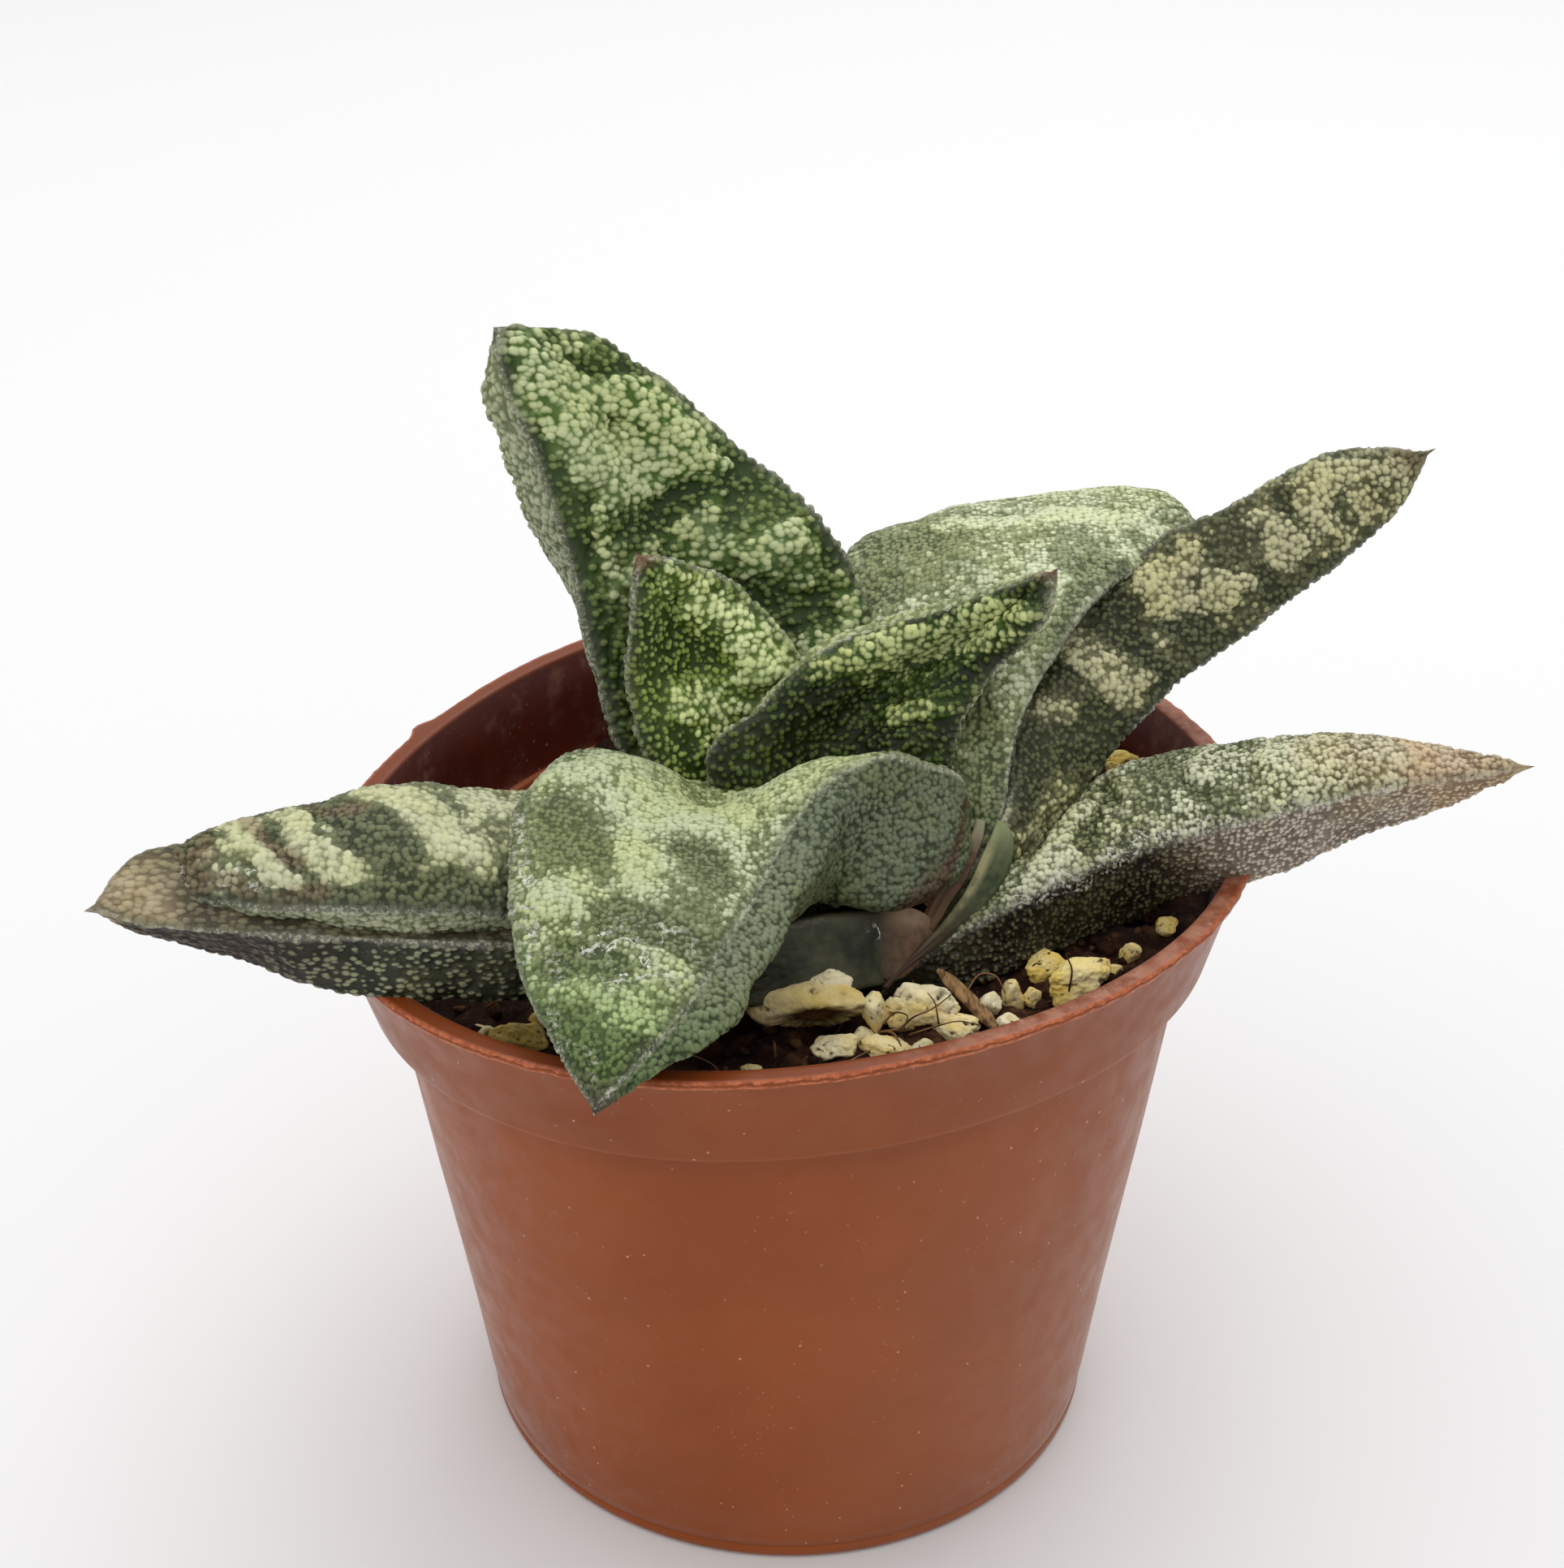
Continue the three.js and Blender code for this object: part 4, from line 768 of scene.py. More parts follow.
# ---- pot ----------------------------------------------------------------
POT_HEIGHT = 65.0
OVAL_SHARE, OVAL_ANGLE = 0.06, math.radians(49)
LOBE_SHARE, LOBE_ANGLE = 0.027, math.radians(-18.6)
POT_COLUMNS, POT_STEP = 288, 2.5
DRAIN_COUNT, DRAIN_RADIUS, DRAIN_CIRCLE = 4, 4.0, 19.0
DRAIN_SEGMENTS, DRILL_LENGTH = 48, 8
LIP_BEGINS, LIP_RAGGEDNESS = (42.1, 42.4), 0.17
WALL_WOBBLE = 0.07
GATE_ANGLE, GATE_WIDTH, GATE_HEIGHT = math.radians(158), math.radians(2.2), 0.8  # a small lump on the lip
POT_PROFILE = [  # outside from the centre of the floor to the lip, then the inside back down
    (0.0, 0.0), (10.0, 0.0), (20.0, 0.0), (29.6, 0.0), (30.3, 0.15), (30.6, 0.6), (30.62, 1.5), (30.5, 1.62),
    (30.64, 1.76), (30.8, 3.0), (30.95, 4.4), (31.1, 4.9), (32.3, 15.0), (34.8, 34.0), (36.6, 49.0),
    (37.2, 54.0), (37.35, 54.45), (37.6, 54.6), (39.2, 54.5), (39.38, 54.62), (39.45, 54.9), (40.6, 59.5),
    (41.75, 63.9), (41.9, 64.15), (42.25, 64.2), (42.45, 64.3), (42.5, 64.6), (42.4, 64.95), (42.0, 65.0),
    (41.2, 65.0), (40.75, 64.98), (40.55, 64.8), (39.4, 60.0), (38.2, 54.9), (38.0, 54.4), (37.4, 54.1),
    (36.4, 53.95), (36.1, 53.6), (34.2, 39.0), (31.4, 18.0), (29.8, 5.0), (29.4, 2.4), (28.8, 2.05),
    (20.0, 2.0), (10.0, 2.0), (0.0, 2.0),
]


def out_of_round(angle, height):
    """How much wider than round the squeezed pot is, in each direction and at each height."""
    share = np.clip(height / POT_HEIGHT, 0, 1)
    return 1 + share * (OVAL_SHARE * np.cos(2 * (angle - OVAL_ANGLE)) + LOBE_SHARE * np.cos(3 * (angle - LOBE_ANGLE)))


def pot_material():
    """Worn plastic, with painted shade on the inner wall and above the collar's step, a painted shadow just under that
    step and a painted reflection low and to the right; the heights are in metres, of the step under the collar and the
    edges of the lip.
    """
    paint = Paint("terracotta_plastic", roughness=0.42, Specular_IOR_Level=0.3, Sheen_Weight=0.2, Sheen_Roughness=0.25)
    lip, _, inside, _ = paint.layer("pot")
    large = paint.noise(18, 4)
    fine = paint.noise(0.6, 3)
    body = paint.mix(paint.band(large, 0.35, 0.65), srgb(141, 67, 14), srgb(149, 72, 19))
    # painted shade: the inner wall is coloured much darker than the outside of the same plastic
    shaded_inner_colour = paint.mix(paint.band(paint.noise(9, 4), 0.35, 0.7), srgb(80, 24, 8), srgb(94, 32, 12))
    body = paint.mix(inside, body, shaded_inner_colour)
    smudge = paint.times(paint.band(paint.noise(6, 5, 0.7), 0.5, 0.72), inside)
    body = paint.mix(paint.times(smudge, 0.45), body, srgb(150, 112, 92))
    dust = paint.band(paint.noise(2.5, 6, 0.75), 0.6, 0.8)
    dots = paint.times(paint.band(paint.cells(1.7), 0.1, 0.04), paint.band(paint.noise(8, 2), 0.42, 0.58))
    grit = paint.times(paint.band(paint.cells(0.8), 0.14, 0.06), paint.band(paint.noise(5, 3), 0.5, 0.66))
    dots = paint.plus(dots, paint.times(grit, 0.6))
    body = paint.mix(paint.times(dust, 0.18), body, srgb(196, 140, 112))
    level, east = paint.height(), paint.split(paint.place)[0]
    # painted reflection: a paler, pinker tint over the outside, growing towards +x and towards the bottom
    painted_reflection = paint.times(paint.band(east, -0.01, 0.035), paint.band(level, 0.056, 0.01, 0.35, 1.0))
    body = paint.mix(paint.times(painted_reflection, paint.times(paint.rest(inside), 0.3)), body, srgb(152, 112, 92))
    body = paint.mix(paint.times(dots, 0.8), body, srgb(214, 172, 146))
    # painted shadow: a darker band on the wall just below the collar's step
    painted_collar_shadow = paint.times(paint.band(level, 0.0498, 0.0541), paint.band(level, 0.0549, 0.0542))
    body = paint.mix(paint.times(painted_collar_shadow, 0.3), body, (0.5, 0.45, 0.4), "MULTIPLY")
    # painted shade: everything above the collar's step, under the lip, is darkened a little
    body = paint.mix(paint.band(level, 0.0548, 0.0552), body, (0.88, 0.87, 0.85), "MULTIPLY")
    dusty = paint.band(east, 0.002, 0.02, 0.0, 0.8)
    top = paint.mix(paint.band(paint.noise(2.0, 4, 0.6), 0.35, 0.65), srgb(128, 66, 38), srgb(168, 116, 92))
    scuff = paint.times(paint.band(paint.noise(0.8, 5, 0.7), 0.56, 0.7), dusty)
    top = paint.mix(paint.times(scuff, 0.6), top, srgb(206, 176, 158))
    body = paint.mix(paint.times(paint.band(level, 0.0646, 0.0648), 0.8), body, srgb(118, 54, 20))
    body = paint.mix(paint.times(paint.band(level, 0.0648, 0.06495), dusty), body, top)
    flash = paint.mix(paint.band(fine, 0.35, 0.65), srgb(196, 110, 70), srgb(158, 80, 46))
    jagged = paint.plus(level, paint.times(paint.math("SUBTRACT", paint.noise(1.1, 4, 0.7), 0.5), 0.0008))
    groove = paint.times(paint.band(jagged, 0.06448, 0.0646), paint.band(jagged, 0.06482, 0.0647))
    burr = paint.times(paint.times(lip, paint.band(jagged, 0.0641, 0.06425)), paint.rest(groove))
    body = paint.mix(burr, body, flash)
    paint.bump(fine, 0.03, 0.35)
    return paint.done(body, paint.band(paint.noise(3, 4), 0.3, 0.7, 0.36, 0.52))


def make_pot():
    """The pot: its profile turned about the axis, with a ragged lip and four drain holes."""
    profile = np.array(POT_PROFILE)
    fine = [profile[0]]
    for a, b in zip(profile[:-1], profile[1:]):
        steps = max(1, int(np.hypot(*(b - a)) / POT_STEP))
        fine += [a + (b - a) * k / steps for k in range(1, steps + 1)]
    profile = np.array(fine)[1:-1]
    angle = full_turn(POT_COLUMNS)
    radius = profile[:, :1] * np.ones(POT_COLUMNS)
    height = profile[:, 1:] * np.ones(POT_COLUMNS)
    lip = step(radius, *LIP_BEGINS)
    around = np.stack([angle, 0 * angle], -1)
    ragged = smooth_noise(around * 40, 5) + 0.8 * smooth_noise(around * 110, 6)
    radius = radius + lip * LIP_RAGGEDNESS * (ragged - 0.9)
    from_gate = (angle - GATE_ANGLE + math.pi) % (2 * math.pi) - math.pi
    gate = GATE_HEIGHT * np.exp(-((from_gate / GATE_WIDTH) ** 2))
    radius = radius + gate * step(height, 62.5, 64.5) * step(radius, 41, 42)
    wobble = WALL_WOBBLE * cloud(round_path(radius, angle, height) / 26.0, 3, 1)
    radius = (radius + wobble * step(height, 1, 6)) * out_of_round(angle, height)
    rows = len(profile)
    top = int(np.argmax(profile[:, 1] + 0.001 * profile[:, 0]))
    inside = (np.arange(rows)[:, None] > top + 2) * np.ones(POT_COLUMNS)
    layer = np.stack([lip, 0 * lip, inside, np.ones_like(lip)], -1).reshape(-1, 4)
    points = round_path(radius, angle, height).reshape(-1, 3)
    count = len(points)
    faces = grid_faces(rows, POT_COLUMNS)
    faces += [(b, a, tip) for a, b, tip in fan_faces(np.arange(POT_COLUMNS), count)]
    faces += fan_faces(np.arange(count - POT_COLUMNS, count), count + 1)
    everything = np.vstack([points, [0, 0, 0], [0, 0, POT_PROFILE[-1][1]]])
    layers = {"pot": np.vstack([layer, [0, 0, 0, 1], [0, 0, 1, 1]])}
    pot = mesh_object("pot_shell", everything, faces, pot_material(), layers=layers)
    for index in range(DRAIN_COUNT):
        turn = (index + 0.5) * 2 * math.pi / DRAIN_COUNT
        bpy.ops.mesh.primitive_cylinder_add(
            vertices=DRAIN_SEGMENTS, radius=DRAIN_RADIUS * MM, depth=DRILL_LENGTH * MM,
            location=(DRAIN_CIRCLE * math.cos(turn) * MM, DRAIN_CIRCLE * math.sin(turn) * MM, 1 * MM))
        drill = bpy.context.object
        cut = pot.modifiers.new("drain", "BOOLEAN")
        cut.operation, cut.object, cut.solver = "DIFFERENCE", drill, "EXACT"
        bpy.context.view_layer.objects.active = pot
        bpy.ops.object.modifier_apply(modifier=cut.name)
        bpy.data.objects.remove(drill)
    return carried(pot, "pot_plastic", "pot")


# ---- peat, grains and what lies among them ------------------------------
SOIL_LEVEL, SOIL_SLOPE, SOIL_BUMP = 56.6, 0.09, 0.6
SOIL_RINGS, SOIL_COLUMNS = 84, 420
SOIL_FLOOR = 2.3
SOIL_DEPTHS = (50.0, 39.0, 18.0, SOIL_FLOOR)
SOIL_EDGE_DEPTH = 0.7  # how far below its edge the peat still fits the wall
POT_INSIDE = ((2.3, 29.0), (18.0, 31.1), (39.0, 33.9), (53.6, 35.8), (54.1, 37.1), (54.9, 37.9), (60.0, 39.1))

# Each bank of pumice: place over the soil (x, y, height of the centre above it), half-lengths, turn about Z
# in degrees, and how yellow it is.
PUMICE = {
    "pumice_front": [
        (3.3, -24.3, 5.5, 2.1, 1.1, 1.3, 10, 0.0), (7.2, -25.0, 2.9, 1.0, 1.3, 1.9, 0, 0.35),
        (11.0, -24.4, 1.3, 3.5, 2.0, 2.1, -8, 0.35), (13.8, -25.2, 0.7, 2.8, 1.6, 1.6, -25, 0.25),
        (3.8, -27.6, 0.5, 2.3, 1.6, 1.3, 8, 0.3), (8.0, -27.8, 0.4, 2.2, 1.5, 1.3, -8, 0.45),
        (6.2, -26.3, 1.0, 1.1, 0.9, 0.9, 30, 0.15), (-3.4, -29.1, 0.2, 1.1, 0.7, 0.7, 0, 0.7),
        (-0.8, -29.6, 0.1, 0.7, 0.5, 0.6, 0, 0.1), (17.2, -22.9, 0.7, 1.3, 1.2, 1.3, 20, 0.0),
        (19.3, -21.2, 0.8, 1.1, 1.2, 1.7, -15, 0.55), (18.9, -24.6, 0.2, 1.2, 0.8, 0.8, 5, 0.15),
        (21.0, -21.0, 0.6, 1.0, 1.0, 1.2, 40, 0.6), (11.2, -27.6, 0.2, 1.3, 0.9, 0.8, 0, 0.2),
    ],
    "pumice_right": [(24.7, -20.7, 1.1, 3.3, 2.0, 1.9, 22, 0.75), (22.6, -17.5, 1.1, 2.0, 1.5, 1.5, 10, 0.85),
                     (27.8, -18.6, 0.5, 1.5, 0.9, 0.9, 30, 0.7)],
    "pumice_rim_near": [(30, -16, 0.5, 1.0, 0.9, 1.3, 0, 0.7)],
    "pumice_rim_far": [(33.5, -12.1, 0.6, 1.1, 1.0, 1.0, 0, 0.8)],
    "pumice_back": [(33.2, 18.7, 0.4, 1.8, 1.2, 1.1, 20, 0.95), (31.8, 16.8, 0.2, 1.0, 1.0, 0.8, 0, 0.9)],
    "pumice_left": [(-23.6, -24.3, 1.0, 2.4, 1.7, 1.7, -20, 1.0), (-26.9, -21.9, 0.6, 1.5, 1.2, 1.2, 10, 0.3),
                    (-21.6, -22.6, 2.4, 1.0, 0.9, 0.8, 0, 0.6)],
}
SMALL_GRAIN_DETAIL, LARGE_GRAIN_DETAIL, LARGE_GRAIN = 4, 5, 1.8
STONE_BREAKS, STONE_SHARPNESS = 15, 9  # flat faces of a grain, and how sharp the edges between them are
SHELL = dict(centre=(1.9, -25.0, 60.0), half=(5.2, 2.6, 3.1), hollow=(0.25, -0.72, -0.64), yellow=0.65)
SPLINTER = ((12.7, -20.6, 61.2), (17.5, -25.8, 58.7))
CRUMB_COUNT, CRUMB_REACH = 650, 35.0
FIBRE_COUNT, FIBRE_REACH, FIBRE_STEPS, FIBRE_SIDES = 120, 34.0, 12, 5
THREAD_RADIUS, THREAD_STEPS = 0.1, 24
FRONT_THREADS = (  # roots over the front grains
    [(9.2, -27.2, 59.4), (10.4, -26.7, 60.4), (11.8, -26.2, 60.8), (13.0, -25.6, 61.4), (13.9, -25.0, 61.9)],
    [(12.6, -26.8, 59.8), (12.4, -26.4, 60.8), (12.2, -26.0, 61.5), (11.6, -25.6, 62.2)],
    [(10.0, -27.6, 59.2), (12.0, -27.3, 59.8), (14.2, -26.9, 60.2), (16.0, -26.6, 59.6)],
    [(15.2, -22.6, 60.4), (16.2, -22.2, 61.8), (17.6, -22.6, 61.9), (18.4, -23.6, 60.8)],
    [(24.0, -22.3, 60.2), (24.2, -21.6, 62.0), (23.8, -20.2, 62.6), (24.3, -19.0, 61.9)],
    [(7.9, -26.6, 59.6), (8.8, -26.2, 60.5), (9.9, -26.5, 60.4), (9.6, -27.2, 59.6)],
)


def soil_top(x, y):
    """Height of the peat, without its crumbs."""
    across = np.sin(0.55 * x + 1.1 * np.sin(0.31 * y))
    lengthwise = np.cos(0.62 * y - 0.9 * np.sin(0.27 * x))
    return SOIL_LEVEL + SOIL_SLOPE * x + SOIL_BUMP * across * lengthwise


def make_soil():
    """The peat: its crumbly top out to the wall of the pot, and the rest of it down to the floor."""
    angle = full_turn(SOIL_COLUMNS)
    heights, radii = np.array(POT_INSIDE).T
    edge = np.interp(SOIL_LEVEL, heights, radii) * out_of_round(angle, SOIL_LEVEL)
    edge_height = soil_top(edge * np.cos(angle), edge * np.sin(angle)) - SOIL_EDGE_DEPTH
    edge = np.interp(edge_height, heights, radii) * out_of_round(angle, edge_height)
    share = (np.arange(1, SOIL_RINGS + 1) / SOIL_RINGS)[::-1, None] * np.ones(SOIL_COLUMNS)
    radius = share * edge
    x, y = radius * np.cos(angle), radius * np.sin(angle)
    flat = np.stack([x, y], -1)
    crumbs = 0.4 * cloud(flat / 1.9, 301, 3) + 0.4 * np.abs(cloud(flat / 0.8, 311, 2)) - 0.1
    crumbs *= step(1 - share, 0.0, 0.03)
    z = soil_top(x, y) + crumbs
    rings = [np.stack([x, y, z], -1)]
    for depth in SOIL_DEPTHS:
        wall = np.interp(depth, heights, radii) * out_of_round(angle, depth)
        rings.insert(0, round_path(wall, angle, np.full_like(wall, depth))[None])
    points = np.vstack(rings)
    rows = len(points)
    layer = np.zeros((rows, SOIL_COLUMNS, 4))
    layer[len(SOIL_DEPTHS):, :, 0] = crumbs
    points = points.reshape(-1, 3)
    count = len(points)
    faces = grid_faces(rows, SOIL_COLUMNS)
    faces += fan_faces(np.arange(SOIL_COLUMNS)[::-1], count)
    faces += fan_faces(np.arange(count - SOIL_COLUMNS, count), count + 1)
    everything = np.vstack([points, [0, 0, SOIL_FLOOR], [0, 0, SOIL_LEVEL]])
    layers = {"crumb": np.vstack([layer.reshape(-1, 4), np.zeros((2, 4))])}
    soil = mesh_object("peat_fill", everything, faces, peat_material(), layers=layers)
    return carried(soil, "peat", "soil")


def peat_material():
    """Earth whose crumbs are paler than the hollows between them, which are painted darker as shade, with bits of
    wood.
    """
    paint = Paint("peat_earth", roughness=0.85, Specular_IOR_Level=0.15)
    crumb = paint.layer("crumb")[0]
    fine = paint.noise(0.5, 4, 0.7)
    body = paint.mix(paint.band(paint.noise(1.7, 4, 0.7), 0.4, 0.7), srgb(48, 25, 15), srgb(96, 64, 44))
    # painted shade: the low places of the crumbly top are coloured darker
    body = paint.mix(paint.band(crumb, -0.2, 0.5), srgb(36, 18, 11), body)
    body = paint.mix(paint.times(paint.band(fine, 0.62, 0.72), 0.7), body, srgb(132, 96, 66))
    paint.bump(fine, 0.25, 1.0)
    return paint.done(body)


def ball(level):
    """Points of a unit ball and its triangles."""
    form = bmesh.new()
    bmesh.ops.create_icosphere(form, subdivisions=level, radius=1.0)
    points = np.array([vertex.co[:] for vertex in form.verts])
    faces = [[vertex.index for vertex in face.verts] for face in form.faces]
    form.free()
    return points, faces


def stone_radius(directions, seed):
    """How far a broken stone reaches in each direction, and how deep in a pit each point is."""
    breaks = np.array([[2 * hashed(seed, k, axis) - 1 for axis in (1, 2, 3)] for k in range(STONE_BREAKS)], float)
    breaks /= np.linalg.norm(breaks, axis=1, keepdims=True)
    offset = 0.7 + 0.3 * hashed(seed, np.arange(STONE_BREAKS), 9)
    reach = np.maximum(directions @ breaks.T, 0) / offset
    radius = np.minimum((reach**STONE_SHARPNESS).sum(1) ** (-1 / STONE_SHARPNESS), 1.2)
    rough = 0.09 * cloud(directions * 2.2 + seed % 17, seed, 3) + 0.035 * cloud(directions * 9, seed + 3, 2)
    pit = step(smooth_noise(directions * 3.4 + seed % 13, seed + 7), 0.8, 0.9)
    return radius * (0.97 + rough) - 0.14 * pit, pit


def stone_layer(directions, pit, yellow, seed):
    """The layer that stone_material reads: dirt, with painted shade in the pits, yellowness and hollow."""
    dirt_and_pit_shade = np.clip(pit + step(smooth_noise(directions * 4.2, seed + 17), 0.81, 0.89), 0, 1)
    tint = np.clip(yellow + 0.35 * cloud(directions * 1.4, seed + 19, 2), 0, 1)
    return np.stack([dirt_and_pit_shade, tint, 0 * pit, 0 * pit + 1], -1)


def stone_material(name):
    """Pale pumice with dirt and painted shade in its pits, and a hollow painted dark brown as shade."""
    paint = Paint(name, roughness=0.8, Specular_IOR_Level=0.25)
    dirt_and_pit_shade, yellow, hollow, _ = paint.layer("stone")
    fine = paint.noise(0.35, 4, 0.7)
    body = paint.mix(yellow, srgb(246, 236, 196), srgb(242, 212, 112))
    body = paint.mix(paint.band(paint.noise(1.6, 4, 0.65), 0.5, 0.75, 0.0, 0.35), body, srgb(190, 148, 78))
    body = paint.mix(paint.band(fine, 0.6, 0.8, 0.0, 0.4), body, srgb(140, 102, 56))
    # dark brown where there is dirt, in random patches and in the pits; in the pits it is also painted shade
    body = paint.mix(paint.times(dirt_and_pit_shade, paint.band(paint.noise(0.6, 3), 0.35, 0.55)), body, srgb(48, 26, 12))
    # painted shade: the shell's hollow is coloured dark brown, a browner inside darkened as shade
    body = paint.mix(hollow, body, srgb(78, 48, 16))
    paint.bump(paint.plus(fine, paint.times(paint.cells(0.5), 0.6)), 0.16, 0.8)
    return paint.done(body)


def make_pumice():
    """The banks of grains, and the shell among the front ones."""
    balls = {level: ball(level) for level in (SMALL_GRAIN_DETAIL, LARGE_GRAIN_DETAIL)}
    for order, (name, grains) in enumerate(PUMICE.items()):
        points, triangles, layers = [], [], []
        for k, (x, y, rise, a, b, c, turn, yellow) in enumerate(grains):
            seed = 500 + 37 * order + 5 * k
            directions, faces = balls[LARGE_GRAIN_DETAIL if a > LARGE_GRAIN else SMALL_GRAIN_DETAIL]
            radius, pit = stone_radius(directions, seed)
            place = directions * radius[:, None] * (a, b, c)
            cos, sin = math.cos(math.radians(turn)), math.sin(math.radians(turn))
            place = place @ np.array([[cos, sin, 0], [-sin, cos, 0], [0, 0, 1]])
            add_part(points, triangles, place + (x, y, soil_top(x, y) + rise), faces)
            layers.append(stone_layer(directions, pit, yellow, seed))
        if name == "pumice_front":
            directions, faces = balls[LARGE_GRAIN_DETAIL]
            shell, layer = pumice_shell(directions)
            add_part(points, triangles, shell, faces)
            layers.append(layer)
        stones = mesh_object(name + "_grains", np.vstack(points), triangles, stone_material(name + "_rock"),
                             layers={"stone": np.vstack(layers)})
        carried(stones, name + "_stone", name)


def pumice_shell(directions):
    """A broken bowl of pumice on its side: a thin wall round a hollow, painted dark as shade, that opens forwards and
    down.
    """
    hollow = np.array(SHELL["hollow"]) / np.linalg.norm(SHELL["hollow"])
    radius, pit = stone_radius(directions, 777)
    radius = 0.35 + 0.65 * radius
    ragged = 0.12 * cloud(directions * 3, 781, 3)
    inside = step(directions @ hollow + ragged, 0.3, 0.44)
    radius = radius * (1 - 0.62 * inside)
    layer = stone_layer(directions, pit, SHELL["yellow"], 783)
    # the hollow layer: 0.15 all over the shell as a brown tint, rising to 1 inside, where the painted shade of the
    # hollow lies
    layer[:, 2] = 0.15 + 0.85 * step(inside, 0.2, 0.8)
    return directions * radius[:, None] * SHELL["half"] + SHELL["centre"], layer


def tube(path, radii, sides=6, flat=1.0):
    """Points and faces of a closed tube along a path."""
    path = np.asarray(path, float)
    along = np.gradient(path, axis=0)
    along /= np.linalg.norm(along, axis=1, keepdims=True)
    side = np.cross(along, (0.03, 0.05, 1.0))
    side /= np.linalg.norm(side, axis=1, keepdims=True)
    up = np.cross(side, along)
    turn = full_turn(sides)
    ring = side[:, None] * np.cos(turn)[None, :, None] + flat * up[:, None] * np.sin(turn)[None, :, None]
    points = path[:, None] + ring * np.asarray(radii)[:, None, None]
    return points.reshape(-1, 3), tube_faces(len(path), sides)


def make_splinter():
    """A flat sliver of bark, blunt at its ends, with a rough grain."""
    start, end = np.array(SPLINTER)
    rows, sides = 60, 28
    t = np.linspace(0, 1, rows)
    path = start + (end - start) * t[:, None] + np.stack([0 * t, 0 * t, 0.25 * np.sin(math.pi * t)], -1)
    width = 0.75 * np.minimum(1, 0.25 + 3.5 * t) * np.minimum(1, 0.55 + 3 * (1 - t))
    points, faces = tube(path, width, sides, flat=0.55)
    grain = 0.1 * cloud(np.stack([np.tile(np.arange(sides) / 2.2, rows), np.repeat(t * 3, sides)], -1), 351, 2)
    middle = np.repeat(path, sides, axis=0)
    points = middle + (points - middle) * (1 + grain)[:, None]
    paint = Paint("splinter_wood", roughness=0.75, Specular_IOR_Level=0.2)
    streak = paint.noise(0.5, 4, 0.7, place=paint.stretch((1, 0.25, 0.6), (0, 0, math.radians(-48))))
    body = paint.mix(paint.band(streak, 0.35, 0.65), srgb(96, 68, 40), srgb(172, 136, 92))
    body = paint.mix(paint.band(paint.noise(1.5, 3), 0.55, 0.7, 0, 0.6), body, srgb(70, 46, 28))
    paint.bump(streak, 0.2, 0.9)
    return carried(mesh_object("bark_sliver", points, faces, paint.done(body)), "bark_splinter", "splinter")


def make_stem():
    """The short stem, in the place and of the size of its solid."""
    low, high = (np.array(corner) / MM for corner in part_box("stem"))
    centre, reach = (low + high) / 2, (high - low) / 2
    rows = sides = 40
    t = np.linspace(0, 1, rows)
    path = np.stack([0 * t + centre[0], 0 * t + centre[1], low[2] + (high[2] - low[2]) * t], -1)
    radii = reach[0] * np.interp(t, (0, 0.25, 0.84, 1), (0.7, 1, 1, 0.5)) * (1 + 0.04 * np.sin(t * 60))
    points, faces = tube(path, radii, sides)
    paint = Paint("stem_skin", roughness=0.8, Specular_IOR_Level=0.2)
    rings = paint.noise(1.2, 4, 0.6, place=paint.stretch((0.3, 0.3, 2.0)))
    paint.bump(rings, 0.4, 0.8)
    body = paint.mix(paint.band(rings, 0.35, 0.65), srgb(72, 52, 34), srgb(132, 106, 72))
    return carried(mesh_object("leaf_stem", points, faces, paint.done(body)), "stem_bark", "stem")


def scattered(count, seed, margin):
    """Places on the soil, drawn from the seed."""
    places = []
    for k in range(count):
        angle = 2 * math.pi * float(hashed(seed, k, 1))
        reach = math.sqrt(float(hashed(seed, k, 2))) * margin * float(out_of_round(angle, SOIL_LEVEL))
        x, y = reach * math.cos(angle), reach * math.sin(angle)
        places.append((x, y, float(soil_top(x, y))))
    return places


def make_crumbs():
    """Loose lumps of peat and wood on the soil."""
    directions, faces = ball(2)
    points, triangles = [], []
    for k, (x, y, z) in enumerate(scattered(CRUMB_COUNT, 401, CRUMB_REACH)):
        size = 0.28 + 0.75 * float(hashed(403, k, 1)) ** 2.5
        shape = size * (0.8 + 0.5 * hashed(405, k, np.arange(3)))
        lump = directions * (1 + 0.35 * cloud(directions * 1.6 + k, 407, 2))[:, None] * shape
        add_part(points, triangles, lump + (x, y, z + 0.35 * size), faces)
    paint = Paint("crumb_earth", roughness=0.85, Specular_IOR_Level=0.15)
    grain = paint.noise(0.6, 4, 0.7)
    body = paint.mix(paint.band(paint.noise(3, 2), 0.45, 0.65), srgb(52, 28, 18), srgb(108, 76, 52))
    body = paint.mix(paint.band(grain, 0.4, 0.7, 0, 0.6), body, srgb(30, 15, 9))
    paint.bump(grain, 0.2, 1.0)
    return carried(mesh_object("peat_crumbs", np.vstack(points), triangles, paint.done(body)), "peat")


def fibre(path, radius):
    """A thin tube that tapers to less than half."""
    return tube(path, np.linspace(radius, 0.45 * radius, len(path)), FIBRE_SIDES)


